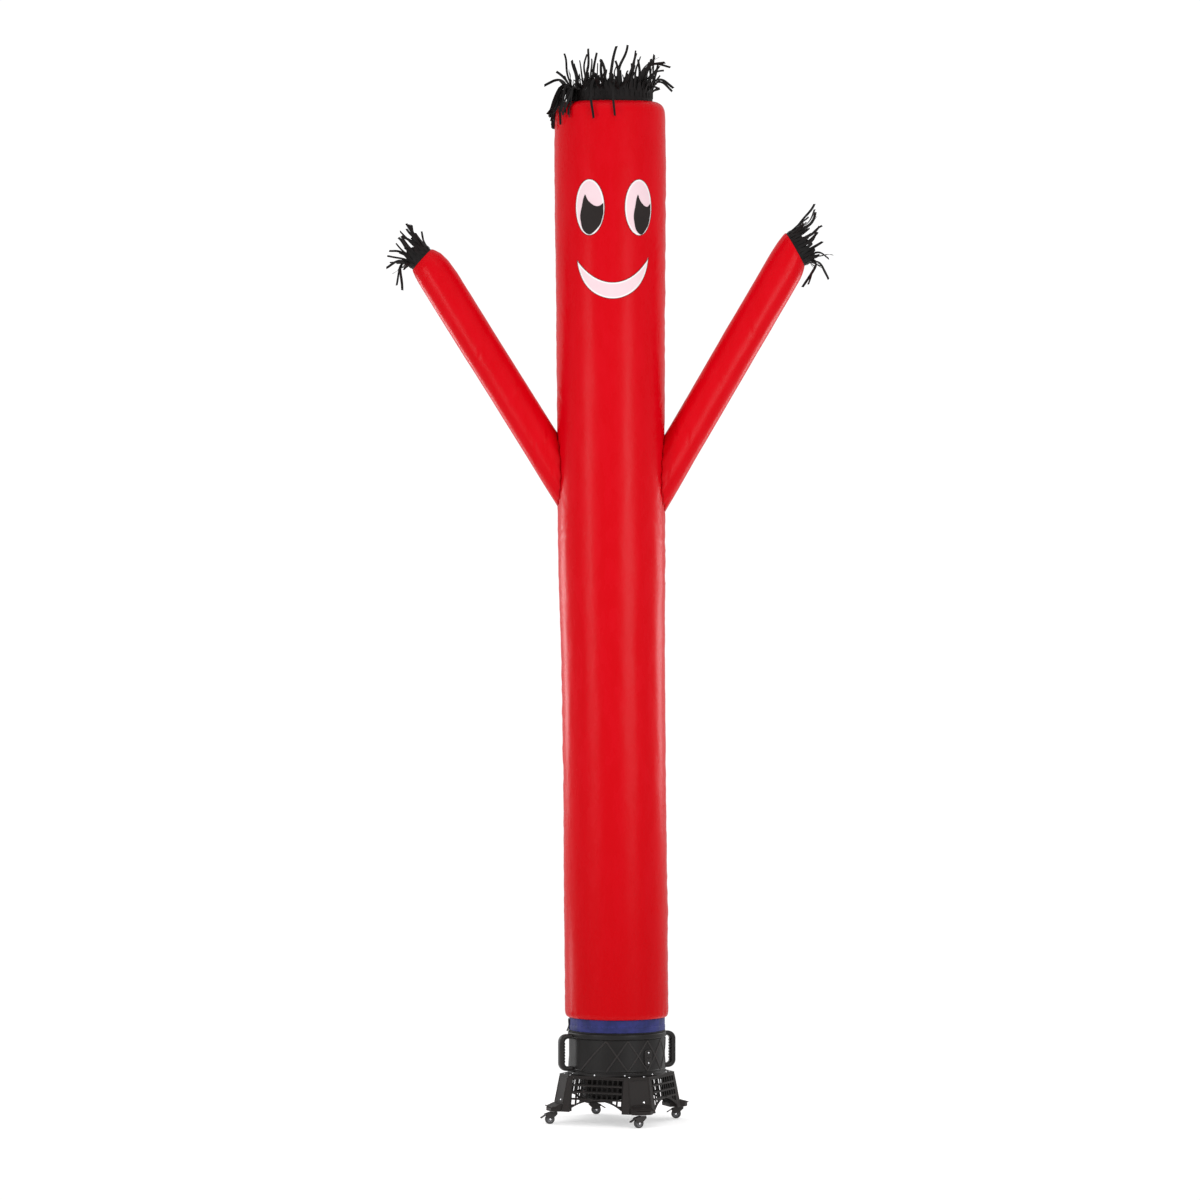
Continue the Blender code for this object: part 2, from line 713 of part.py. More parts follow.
def patch_mesh(middle, ends, top, bottom, layer, rows, columns_wanted):
    """The back of a thin piece on the torso. top and bottom are its edges, over the arc from its middle."""
    low_x, high_x = ends
    side = FACE_RADIUS * 2 * math.pi / TUBE_SIDES
    first = -math.pi / 2 + FACE_TURN
    shift = FACE_RADIUS * first + middle[0]
    centre = (low_x + high_x) / 2
    half = (high_x - low_x) / 2
    arcs = {low_x, high_x}
    for i in range(1, columns_wanted):
        arcs.add(centre - half * math.cos(math.pi * i / columns_wanted))
    for j in range(-TUBE_SIDES, TUBE_SIDES):
        corner = j * side - shift  # an upright edge of the many-sided tube
        if low_x < corner < high_x:
            arcs = {arc for arc in arcs if abs(arc - corner) > side / 8 or arc in ends}
            arcs.add(corner)
    offset = GAP + layer * (FACE_CLOTH + GAP)
    bm = bmesh.new()
    columns = []
    for arc in sorted(arcs):
        turn = (arc + shift) / FACE_RADIUS
        low_z = middle[1] + bottom(arc)
        high_z = max(middle[1] + top(arc), low_z + PATCH_END)
        column = []
        for i in range(rows + 1):
            z = low_z + (high_z - low_z) * i / rows
            column.append(bm.verts.new(torso_point(turn, z, offset)))
        columns.append(column)
    for left, right in zip(columns, columns[1:]):
        for i in range(rows):
            bm.faces.new((left[i], right[i], right[i + 1], left[i + 1]))
    return finished_mesh(bm)


def patch(shop, name, material, mesh):
    obj = shop.piece(name, mesh, material)
    solidify(obj, FACE_CLOTH, 1.0)


def eye_edge(arc):
    return EYE_HALF_HEIGHT * math.sqrt(max(0.0, 1 - (arc / EYE_HALF_WIDTH) ** 2))


def eye_bottom(arc):
    return -eye_edge(arc)


def smile_edge(arc, depth):
    share = abs(arc / SMILE_HALF_WIDTH)
    full = max(0.0, 1 - share**SMILE_FULL) ** SMILE_ROUND
    return SMILE_TIP_LIFT * share**2 + SMILE_TILT * arc - depth * full


def smile_top(arc):
    return smile_edge(arc, 0.0)


def smile_bottom(arc):
    return smile_edge(arc, SMILE_DEPTH)


def pupil_top(arc):
    edge = PUPIL_LEFT_EDGE if arc < PUPIL_BITE[0][0] else PUPIL_BITE
    return blend(edge, arc)


def pupil_bottom(arc):
    return blend(PUPIL_BOTTOM, arc)


def make_face(shop):
    for name, arc in EYE_ARCS.items():
        middle = (arc, EYE_Z)
        width = EYE_HALF_WIDTH
        white = patch_mesh(middle, (-width, width), eye_edge, eye_bottom, 0, 2, 14)
        patch(shop, f"eye_white_{name}", "white_nylon", white)
        scale, shift = PUPIL_FITS[name]
        ends = tuple(scale * PUPIL_BOTTOM[k][0] + shift for k in (0, -1))
        pupil = patch_mesh(
            middle,
            ends,
            lambda arc: pupil_top((arc - shift) / scale),
            lambda arc: pupil_bottom((arc - shift) / scale),
            1,
            1,
            12,
        )
        patch(shop, f"eye_pupil_{name}", "black_nylon", pupil)
    width = SMILE_HALF_WIDTH
    smile = patch_mesh((SMILE_ARC, SMILE_Z), (-width, width), smile_top, smile_bottom, 0, 1, 20)
    patch(shop, "smile", "white_nylon", smile)


# ---------------------------------------------------------------- cuff


def ring_profile(inner, outer, low, high):
    return ((outer, high), (outer, low), (inner, low), (inner, high))


def make_cuff(shop):
    inner = CUFF_RADIUS - CUFF_WALL
    cuff = turned_mesh(ring_profile(inner, CUFF_RADIUS, CUFF_LOW, CUFF_HIGH), DRUM_SIDES)
    shop.piece("cuff_band", cuff, "blue_nylon")
    hem = turned_mesh(ring_profile(inner, HEM_RADIUS, HEM_LOW, HEM_HIGH), DRUM_SIDES)
    shop.piece("cuff_hem", hem, "black_webbing")
    radial = Vector((math.cos(TAB_ANGLE), math.sin(TAB_ANGLE), 0.0))
    tangent = Vector((-radial.y, radial.x, 0.0))
    axes = Matrix((radial, tangent, Vector((0, 0, 1)))).transposed().to_4x4()
    reach = HEM_RADIUS + GAP + TAB_THICKNESS / 2
    middle = Matrix.Translation(reach * radial + Vector((0, 0, HEM_LOW + TAB_LENGTH / 2))) @ axes
    tab = box_mesh((TAB_THICKNESS, TAB_WIDTH, TAB_LENGTH), (0, 0, 0))
    obj = shop.piece("closure_tab", tab, "black_webbing", matrix=middle)
    bevel(obj, TAB_EDGE)


# ---------------------------------------------------------------- blower


def make_drum(shop):
    inner = DRUM_RADIUS - DRUM_WALL
    neck_inner = NECK_RADIUS - DRUM_WALL
    profile = (
        (NECK_RADIUS, NECK_HIGH),
        (NECK_RADIUS, LIP_HIGH),
        (DRUM_LIP_RADIUS, LIP_HIGH),
        (DRUM_LIP_RADIUS, LIP_LOW),
        (DRUM_RADIUS, LIP_LOW - DRUM_WALL),
        (DRUM_RADIUS, FLANGE_HIGH + DRUM_WALL),
        (DRUM_FLANGE_RADIUS, FLANGE_HIGH),
        (DRUM_FLANGE_RADIUS, DRUM_LOW),
        (inner, DRUM_LOW),
        (inner, LIP_LOW),
        (neck_inner, LIP_HIGH),
        (neck_inner, NECK_HIGH),
    )
    shop.piece("drum", turned_mesh(profile, DRUM_SIDES), "black_plastic")


def radial_frame(turn, radius, z):
    """X outwards, Y along the tangent, Z up, at a place round the blower's axis."""
    place = Matrix.Translation((radius * math.cos(turn), radius * math.sin(turn), z))
    return place @ Matrix.Rotation(turn, 4, "Z")


def make_inlet(shop):
    """The plate on the drum where the supply lead enters, seated on a flat behind it."""
    half_width = INLET_WIDTH / 2
    half_height = INLET_HEIGHT / 2
    corner = INLET_CORNER
    outline = (
        (half_width, half_height - corner),
        (half_width - corner, half_height),
        (corner - half_width, half_height),
        (-half_width, half_height - corner),
        (-half_width, corner - half_height),
        (corner - half_width, -half_height),
        (half_width - corner, -half_height),
        (half_width, corner - half_height),
    )
    stand_off = DRUM_RADIUS + GAP + INLET_THICKNESS / 2
    upright = Matrix(((0, 0, 1, 0), (1, 0, 0, 0), (0, 1, 0, 0), (0, 0, 0, 1)))
    frame = radial_frame(INLET_ANGLE, stand_off, INLET_Z) @ upright
    obj = shop.piece("inlet_plate", outline_mesh([outline], INLET_THICKNESS), "black_plastic", matrix=frame)
    bevel(obj, INLET_EDGE)


def handle_outline():
    """The D of a carrying handle, as (outward, height) points, and the finger hole inside it."""
    start = DRUM_RADIUS + HANDLE_STAND_OFF
    corner = HANDLE_CORNER
    outer = [(start, HANDLE_LOW)]
    for centre_z, first in ((HANDLE_LOW + corner, -90), (HANDLE_HIGH - corner, 0)):
        for i in range(5):
            turn = math.radians(first + 22.5 * i)
            outer.append((HANDLE_OUT - corner + corner * math.cos(turn), centre_z + corner * math.sin(turn)))
    outer.append((start, HANDLE_HIGH))
    inner_out = HANDLE_OUT - HANDLE_GRIP
    low = HANDLE_LOW + HANDLE_ARM
    high = HANDLE_HIGH - HANDLE_ARM
    inner = [(start, high), (inner_out - FINGER_CORNER, high)]
    steps = HANDLE_FINGERS * 4
    for i in range(steps + 1):
        z = high - FINGER_CORNER - (high - low - 2 * FINGER_CORNER) * i / steps
        wave = HANDLE_BUMP * (1 - math.cos(2 * math.pi * HANDLE_FINGERS * i / steps)) / 2
        inner.append((inner_out - wave, z))
    inner += [(inner_out - FINGER_CORNER, low), (start, low)]
    return outer + inner


def make_handles(shop):
    upright = Matrix(((1, 0, 0, 0), (0, 0, -1, 0), (0, 1, 0, 0), (0, 0, 0, 1)))
    for name, turn in (("right", CORNER_ANGLE), ("left", CORNER_ANGLE + math.pi)):
        frame = Matrix.Rotation(turn, 4, "Z") @ upright
        mesh = outline_mesh([handle_outline()], HANDLE_WIDTH)
        obj = shop.piece(f"handle_{name}", mesh, "black_plastic", matrix=frame)
        bevel(obj, HANDLE_EDGE)


def make_fan(shop):
    """The guard over the air inlet, the motor on it and the impeller, all inside the drum."""
    rim = []
    for i in range(DRUM_SIDES):
        turn = 2 * math.pi * i / DRUM_SIDES
        rim.append((FAN_GUARD_RADIUS * math.cos(turn), FAN_GUARD_RADIUS * math.sin(turn)))
    outlines = [rim]
    far = FAN_GUARD_RADIUS - FAN_GUARD_RIM
    for arm in range(FAN_GUARD_ARMS):
        first = 2 * math.pi * arm / FAN_GUARD_ARMS
        span = 2 * math.pi / FAN_GUARD_ARMS
        hole = []
        for radius, order in ((far, (0, 1, 2, 3)), (FAN_GUARD_HUB, (3, 2, 1, 0))):
            margin = FAN_GUARD_ARM / 2 / radius
            for i in order:
                turn = first + margin + (span - 2 * margin) * i / 3
                hole.append((radius * math.cos(turn), radius * math.sin(turn)))
        outlines.append(hole)
    z = DECK_HIGH + GAP + FAN_GUARD_THICKNESS / 2
    guard = outline_mesh(outlines, FAN_GUARD_THICKNESS)
    shop.piece("fan_guard", guard, "black_plastic", matrix=Matrix.Translation((0, 0, z)))
    z += FAN_GUARD_THICKNESS / 2 + GAP + MOTOR_HEIGHT / 2
    motor = rod_mesh(MOTOR_RADIUS, MOTOR_HEIGHT, MOTOR_SIDES, Matrix.Identity(4))
    shop.piece("motor", motor, "motor_steel", matrix=Matrix.Translation((0, 0, z)))
    z += MOTOR_HEIGHT / 2 + GAP + IMPELLER_HEIGHT / 2
    place = Matrix.Translation((0, 0, z))
    hub = rod_mesh(IMPELLER_HUB, IMPELLER_HEIGHT, IMPELLER_SIDES, Matrix.Identity(4))
    impeller = shop.piece("impeller", hub, "black_plastic", matrix=place)
    reach = IMPELLER_TIP - IMPELLER_HUB + BLADE_ROOT
    for blade in range(IMPELLER_BLADES):
        turn = Matrix.Rotation(2 * math.pi * blade / IMPELLER_BLADES, 4, "Z")
        out = Matrix.Translation((IMPELLER_TIP - reach / 2, 0, 0)) @ Matrix.Rotation(BLADE_PITCH, 4, "X")
        mesh = box_mesh((reach, BLADE_CHORD, BLADE_THICKNESS), (0, 0, 0))
        boolean(impeller, shop.cutter(f"blade_{blade}", mesh, matrix=place @ turn @ out), "UNION")


# ---------------------------------------------------------------- base


def skirt_sizes(z):
    """Half side, corner reach and half length of a side of the skirt at a height."""
    share = (SKIRT_TOP - z) / (SKIRT_TOP - SKIRT_FOOT)
    half = SIDE_TOP + share * (SIDE_FOOT - SIDE_TOP)
    corner = CORNER_TOP + share * (CORNER_FOOT - CORNER_TOP)
    return half, corner, corner * math.sqrt(2) - half


def make_deck(shop):
    half, _, length = skirt_sizes(SKIRT_TOP)
    edge = []
    for i in range(4):
        turn = CORNER_ANGLE + math.pi / 4 + i * math.pi / 2
        for along in (-length, length):
            x = half * math.cos(turn) - along * math.sin(turn)
            y = half * math.sin(turn) + along * math.cos(turn)
            edge.append((x, y))
    hole = []
    for i in range(DRUM_SIDES):
        turn = 2 * math.pi * i / DRUM_SIDES
        hole.append((DECK_HOLE * math.cos(turn), DECK_HOLE * math.sin(turn)))
    place = Matrix.Translation((0, 0, DECK_HIGH - DECK_THICKNESS / 2))
    shop.piece("base_deck", outline_mesh([edge, hole], DECK_THICKNESS), "black_plastic", matrix=place)


def corner_loop(z):
    """The section of a corner leg at a height, in a frame whose X points out through the corner."""
    half, reach, length = skirt_sizes(z)
    panel = half * math.sqrt(2) - reach
    back = length - GRILLE_HALF - GAP
    slant = back / math.sqrt(2)
    wall = SKIRT_WALL
    inset = wall * math.tan(math.pi / 8)
    outer = [(reach - slant, panel + slant), (reach, panel), (reach, -panel), (reach - slant, -panel - slant)]
    corner = wall / math.sqrt(2)
    inner = [
        (reach - slant - corner, -panel - slant + corner),
        (reach - wall, -panel + inset),
        (reach - wall, panel - inset),
        (reach - slant - corner, panel + slant - corner),
    ]
    return [Vector((x, y, z)) for x, y in outer + inner]


def make_leg(shop, name, turn):
    """A corner leg of the skirt, with the foot that carries a caster."""
    bm = bmesh.new()
    loft(bm, [corner_loop(SKIRT_TOP), corner_loop(SKIRT_FOOT)], cap=True)
    bmesh.ops.recalc_face_normals(bm, faces=bm.faces)
    place = Matrix.Rotation(turn, 4, "Z")
    leg = shop.piece(f"leg_{name}", finished_mesh(bm, smooth=False), "black_plastic", matrix=place)
    low = SKIRT_FOOT
    high = SKIRT_FOOT + FOOT_THICKNESS
    outline = (
        (FOOT_IN, low),
        (FOOT_OUT, low),
        (FOOT_OUT, high),
        (FOOT_OUT - FOOT_NOSE[0], high + FOOT_NOSE[1]),
        (CORNER_FOOT - FOOT_RIDGE, high + FOOT_SLOPE),
        (FOOT_IN + FOOT_SLOPE, high + FOOT_SLOPE),
        (FOOT_IN, high),
    )
    upright = Matrix(((1, 0, 0, 0), (0, 0, -1, 0), (0, 1, 0, 0), (0, 0, 0, 1)))
    foot = shop.cutter(f"foot_{name}", outline_mesh([outline], FOOT_WIDTH), matrix=place @ upright)
    side = FOOT_WIDTH / 2 + GAP
    nose = FOOT_OUT + GAP
    plan = (
        (0.0, -side),
        (nose - FOOT_CORNER, -side),
        (nose, FOOT_CORNER - side),
        (nose, side - FOOT_CORNER),
        (nose - FOOT_CORNER, side),
        (0.0, side),
    )
    trim = shop.cutter(f"foot_plan_{name}", outline_mesh([plan], 4 * SKIRT_FOOT), matrix=place)
    boolean(foot, trim, "INTERSECT")
    boolean(leg, foot, "UNION")
    depth = STEM_TOP + GAP - SKIRT_FOOT
    hole = rod_mesh(STEM_RADIUS + GAP, 2 * depth, SHAFT_SIDES, Matrix.Identity(4))
    spot = place @ Matrix.Translation((CASTER_REACH, 0.0, SKIRT_FOOT))
    boolean(leg, shop.cutter(f"socket_{name}", hole, matrix=spot))


def arch_height(along):
    return ARCH_PEAK - ARCH_RADIUS + math.sqrt(ARCH_RADIUS**2 - along**2)


def grille_outlines():
    """The edge of a grille panel and its holes, as (along, height) points."""
    edge = [(-GRILLE_HALF, SKIRT_TOP), (-GRILLE_HALF, arch_height(GRILLE_HALF))]
    for i in range(1, ARCH_STEPS):
        along = GRILLE_HALF * (2 * i / ARCH_STEPS - 1)
        edge.append((along, arch_height(along)))
    edge += [(GRILLE_HALF, arch_height(GRILLE_HALF)), (GRILLE_HALF, SKIRT_TOP)]
    outlines = [edge]
    for column in range(GRILLE_COLUMNS):
        middle = GRILLE_PITCH * (column - (GRILLE_COLUMNS - 1) / 2)
        left = middle - GRILLE_HOLE / 2
        right = middle + GRILLE_HOLE / 2
        for row in range(GRILLE_ROWS):
            high = SKIRT_TOP - GRILLE_TOP_RAIL - row * GRILLE_ROW_PITCH
            full = high - GRILLE_HOLE_HEIGHT
            low_left = max(full, arch_height(left) + ARCH_RIM)
            low_right = max(full, arch_height(right) + ARCH_RIM)
            if high - max(low_left, low_right) > GRILLE_SHORTEST:
                outlines.append([(left, high), (left, low_left), (right, low_right), (right, high)])
    return outlines


def make_grilles(shop):
    slope = math.atan2(SIDE_FOOT - SIDE_TOP, SKIRT_TOP - SKIRT_FOOT)
    mesh = outline_mesh(grille_outlines(), SKIRT_WALL)
    names = ("back_right", "back_left", "front_left", "front_right")
    upright = Matrix(((0, 0, 1, 0), (1, 0, 0, 0), (0, 1, 0, 0), (0, 0, 0, 1)))
    for i, name in enumerate(names):
        turn = CORNER_ANGLE + math.pi / 4 + i * math.pi / 2
        lean = Matrix.Rotation(-slope, 4, "Y")
        top = Matrix.Translation((SIDE_TOP - SKIRT_WALL / 2, 0, SKIRT_TOP))
        down = Matrix.Translation((0, 0, -SKIRT_TOP))
        place = Matrix.Rotation(turn, 4, "Z") @ top @ lean @ down @ upright
        shop.piece(f"grille_{name}", mesh.copy(), "black_plastic", matrix=place)


# ---------------------------------------------------------------- casters


def fork_outline():
    """Side view of a caster fork: the crown over the swivel axis, the axle eye and the pedal's ear."""
    points = [(CROWN_FRONT, FORK_TOP), (-SWIVEL_DISC, FORK_TOP)]
    ear = (-PEDAL_BACK, PEDAL_Z)
    for i in range(4):
        turn = math.radians(80 + 62 * i)
        points.append((ear[0] + FORK_EAR * math.cos(turn), ear[1] + FORK_EAR * math.sin(turn)))
    eye = (-TRAIL, WHEEL_RADIUS)
    for i in range(5):
        turn = math.radians(165 + 48 * i)
        points.append((eye[0] + FORK_LOW_EYE * math.cos(turn), eye[1] + FORK_LOW_EYE * math.sin(turn)))
    points.append((CROWN_FRONT, CROWN_LOW))
    return points


def make_caster(shop, name, turn, heading):
    reach = Matrix.Translation((CASTER_REACH * math.cos(turn), CASTER_REACH * math.sin(turn), 0.0))
    ahead = Matrix.Rotation(math.radians(heading) + math.pi, 4, "Z")
    swivel = shop.empty(f"swivel_{name}", reach @ ahead, shop.stand)
    upright = Matrix(((1, 0, 0, 0), (0, 0, -1, 0), (0, 1, 0, 0), (0, 0, 0, 1)))
    sideways = Matrix.Rotation(math.pi / 2, 4, "X")
    sides = outline_mesh([fork_outline()], FORK_WIDTH)
    fork = shop.piece(f"fork_{name}", sides, "black_plastic", parent=swivel, matrix=upright)
    slot = box_mesh((SLOT_SIZE, FORK_SLOT, SLOT_SIZE), (-TRAIL, 0.0, FORK_SLOT_TOP - SLOT_SIZE / 2))
    boolean(fork, shop.cutter(f"slot_{name}", slot, parent=swivel))
    ears = box_mesh((EAR_SLOT, FORK_SLOT, 2 * EAR_SLOT), (-PEDAL_BACK, 0.0, PEDAL_Z))
    boolean(fork, shop.cutter(f"ears_{name}", ears, parent=swivel))
    disc_low = FORK_TOP - DISC_ROOT
    disc_middle = (SWIVEL_DISC_HIGH + disc_low) / 2
    stem_middle = (STEM_TOP + disc_low) / 2
    pieces = (
        ("axle", AXLE_RADIUS, PIN_LENGTH, (-TRAIL, 0.0, WHEEL_RADIUS), sideways),
        ("pin", PEDAL_PIN, PIN_LENGTH, (-PEDAL_BACK, 0.0, PEDAL_Z), sideways),
        ("disc", SWIVEL_DISC, SWIVEL_DISC_HIGH - disc_low, (0.0, 0.0, disc_middle), Matrix.Identity(4)),
        ("stem", STEM_RADIUS, STEM_TOP - disc_low, (0.0, 0.0, stem_middle), Matrix.Identity(4)),
    )
    for part, radius, length, centre, way in pieces:
        mesh = rod_mesh(radius, length, PIN_SIDES if radius < STEM_RADIUS else SHAFT_SIDES, way)
        cutter = shop.cutter(f"{part}_{name}", mesh, parent=swivel, matrix=Matrix.Translation(centre))
        boolean(fork, cutter, "UNION")
    half = WHEEL_WIDTH / 2
    corner = WHEEL_RADIUS / math.cos(math.pi / WHEEL_SIDES)
    profile = (
        (corner - TREAD_DROP, half),
        (corner, half - TREAD_EDGE),
        (corner, TREAD_EDGE - half),
        (corner - TREAD_DROP, -half),
        (WHEEL_BORE, -half),
        (WHEEL_BORE, half),
    )
    facet_down = Matrix.Rotation(math.pi / WHEEL_SIDES, 4, "Z")
    place = Matrix.Translation((-TRAIL, 0.0, WHEEL_RADIUS)) @ sideways @ facet_down
    wheel = turned_mesh(profile, WHEEL_SIDES)
    shop.piece(f"wheel_{name}", wheel, "caster_rubber", parent=swivel, matrix=place)
    back = -PEDAL_LENGTH / 2 - PEDAL_BORE
    lever = box_mesh((PEDAL_LENGTH, PEDAL_WIDTH, PEDAL_THICKNESS), (back, 0.0, 0.0))
    drop = Matrix.Rotation(-PEDAL_DROP, 4, "Y")
    place = Matrix.Translation((-PEDAL_BACK, 0.0, PEDAL_Z)) @ drop
    pedal = shop.piece(f"pedal_{name}", lever, "black_plastic", parent=swivel, matrix=place)
    eye = rod_mesh(PEDAL_EYE, PEDAL_WIDTH, SHAFT_SIDES, sideways)
    boolean(pedal, shop.cutter(f"eye_{name}", eye, parent=swivel, matrix=place), "UNION")
    bore = rod_mesh(PEDAL_BORE, 2 * PEDAL_WIDTH, PIN_SIDES, sideways)
    boolean(pedal, shop.cutter(f"bore_{name}", bore, parent=swivel, matrix=place))


def build():
    clear_scene()
    shop = Workshop()
    torso = make_torso(shop)
    torso_core = make_torso_core(shop)
    for side in ARM_ROOTS:
        make_arm(shop, side, torso, torso_core)
        make_hand(shop, side)
    make_hair(shop)
    make_face(shop)
    make_cuff(shop)
    make_drum(shop)
    make_inlet(shop)
    make_handles(shop)
    make_fan(shop)
    make_deck(shop)
    make_grilles(shop)
    for name, quarter in CASTER_CORNERS.items():
        turn = CORNER_ANGLE + quarter * math.pi / 2
        make_leg(shop, name, turn)
        make_caster(shop, name, turn, CASTER_HEADINGS[name])


RINGS = torso_rings()
build()
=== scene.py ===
# %% [markdown]
# # An inflatable air dancer on its fan blower
# The solids of the part are already made. This lesson dresses them: the nylon tube with its seams and
# puckers, the sewn-on face, the cut fringe, the moulded blower and its little casters.
# Everything is in metres, with Z up, and the face looks along -Y.

import random
from math import atan2, copysign, cos, dist, exp, hypot, pi, radians, remainder, sin, sqrt, tau

import bmesh
import bpy
import numpy as np
from mathutils import Matrix, Vector, noise


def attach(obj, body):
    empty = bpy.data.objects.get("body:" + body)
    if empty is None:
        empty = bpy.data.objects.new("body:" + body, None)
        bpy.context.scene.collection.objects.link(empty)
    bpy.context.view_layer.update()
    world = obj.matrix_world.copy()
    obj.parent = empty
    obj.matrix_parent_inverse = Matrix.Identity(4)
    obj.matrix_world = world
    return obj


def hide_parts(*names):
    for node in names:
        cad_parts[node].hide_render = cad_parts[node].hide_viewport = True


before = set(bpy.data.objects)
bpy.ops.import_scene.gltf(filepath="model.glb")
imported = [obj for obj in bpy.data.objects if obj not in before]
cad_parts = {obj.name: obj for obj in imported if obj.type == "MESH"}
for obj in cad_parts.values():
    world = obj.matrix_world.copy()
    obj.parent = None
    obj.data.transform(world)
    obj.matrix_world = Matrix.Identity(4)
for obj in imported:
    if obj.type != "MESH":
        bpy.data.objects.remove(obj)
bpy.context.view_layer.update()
BODY = "blower_and_tube"
AXIS_X = 0.028  # the blower's axis stands this far beside the middle of the whole part
AXIS = Vector((AXIS_X, 0.0, 0.0))
GAP = 0.0003  # clearance between two pieces that touch

# %% [markdown]
# ## Where the camera stands
# A tall, slim object is shown best from far away with a long lens, so that its sides stay parallel. The
# camera here looks straight ahead and its picture is shifted down a little, in the way that an
# architect's camera is. Turning it down instead would make the tube lean.

# %% Camera
PICTURE_WIDTH = 3.408  # metres across the picture, at the object
CAMERA_AWAY = 16.0
CAMERA_HIGH = 1.75
PICTURE_MIDDLE = (-0.0203, 1.4796)  # across and up
SENSOR = 36.0


def add_object(name, data):
    """A new object, linked to the scene."""
    obj = bpy.data.objects.new(name, data)
    bpy.context.scene.collection.objects.link(obj)
    return obj


camera = add_object("camera", bpy.data.cameras.new("camera"))
camera.location = (PICTURE_MIDDLE[0], -CAMERA_AWAY, CAMERA_HIGH)
camera.rotation_euler = (pi / 2, 0.0, 0.0)
camera.data.sensor_width = SENSOR
camera.data.lens = SENSOR * CAMERA_AWAY / PICTURE_WIDTH
camera.data.shift_y = (PICTURE_MIDDLE[1] - CAMERA_HIGH) / PICTURE_WIDTH
camera.data.clip_end = 200.0
bpy.context.scene.camera = camera
print("lens", round(camera.data.lens), "mm")

# %% [markdown]
# ## Light and floor
# Satin nylon shows its lights as soft upright bands, so two tall soft boxes stand in front, one on either
# side. Two more stand behind and draw a bright rim down the tube, and a small low one does the same for
# the black drum. The world is white all round and fills the shadows.

# %% Lights and world
SOFT_BOXES = {
    # name: turn from the front in degrees, distance, height, width, tall, power
    "left_box": (-47, 3.6, 1.66, 0.72, 1.50, 30),
    "right_box": (35, 3.8, 1.66, 1.15, 1.50, 42),
    "left_rim": (-128, 2.6, 1.30, 0.60, 0.90, 15),
    "right_rim": (124, 2.6, 1.30, 0.60, 0.90, 13),
    "drum_rim": (-118, 1.8, 0.22, 0.40, 0.26, 2),
    "top_box": (0, 1.6, 5.2, 2.6, 2.6, 14),
}
EYE_LEVEL = 1.6  # no light looks higher than this
WORLD_LIGHT = 0.66
WORLD_SEEN = 1.05
WHITE = (1.0, 1.0, 1.0)


def soft_box(name, turn, away, high, width, tall, power):
    light = bpy.data.lights.new(name, "AREA")
    light.shape = "RECTANGLE"
    light.size = width
    light.size_y = tall
    light.energy = power
    obj = add_object(name, light)
    obj.location = (away * sin(radians(turn)), -away * cos(radians(turn)), high)
    aim = Vector((0.0, 0.0, min(high, EYE_LEVEL))) - obj.location
    obj.rotation_euler = aim.to_track_quat("-Z", "Y").to_euler()
    obj.visible_camera = False


for name, row in SOFT_BOXES.items():
    soft_box(name, *row)

world = bpy.data.worlds.new("white_studio")
world.use_nodes = True
bpy.context.scene.world = world
bpy.context.scene.view_settings.view_transform = "Standard"
air = world.node_tree
light, seen = air.nodes["Background"], air.nodes.new("ShaderNodeBackground")
for background, strength in ((light, WORLD_LIGHT), (seen, WORLD_SEEN)):
    background.inputs["Color"].default_value = (*WHITE, 1.0)
    background.inputs["Strength"].default_value = strength
rays = air.nodes.new("ShaderNodeLightPath")
choose = air.nodes.new("ShaderNodeMixShader")
for k, output in enumerate((rays.outputs["Is Camera Ray"], light.outputs[0], seen.outputs[0])):
    air.links.new(output, choose.inputs[k])
air.links.new(choose.outputs[0], air.nodes["World Output"].inputs["Surface"])
print(len(SOFT_BOXES), "soft boxes")

# %% [markdown]
# ## A small language for materials
# A material is a tree of nodes. Writing `1 - mask` is easier to read than placing a Math node, so one class
# wraps a socket and turns Python's operators into Math nodes. Every other node comes from one method.


# %% Wire and Finish
class Wire:
    """An output socket of a finish. Python's arithmetic on it adds Math nodes."""

    def __init__(self, finish, socket):
        self.finish = finish
        self.socket = socket

    def maths(self, operation, first, second):
        return self.finish.node("ShaderNodeMath", {"operation": operation}, {0: first, 1: second})

    def __add__(self, other):
        return self.maths("ADD", self, other)

    def __sub__(self, other):
        return self.maths("SUBTRACT", self, other)

    def __rsub__(self, other):
        return self.maths("SUBTRACT", other, self)

    def __mul__(self, other):
        return self.maths("MULTIPLY", self, other)

    __radd__ = __add__
    __rmul__ = __mul__


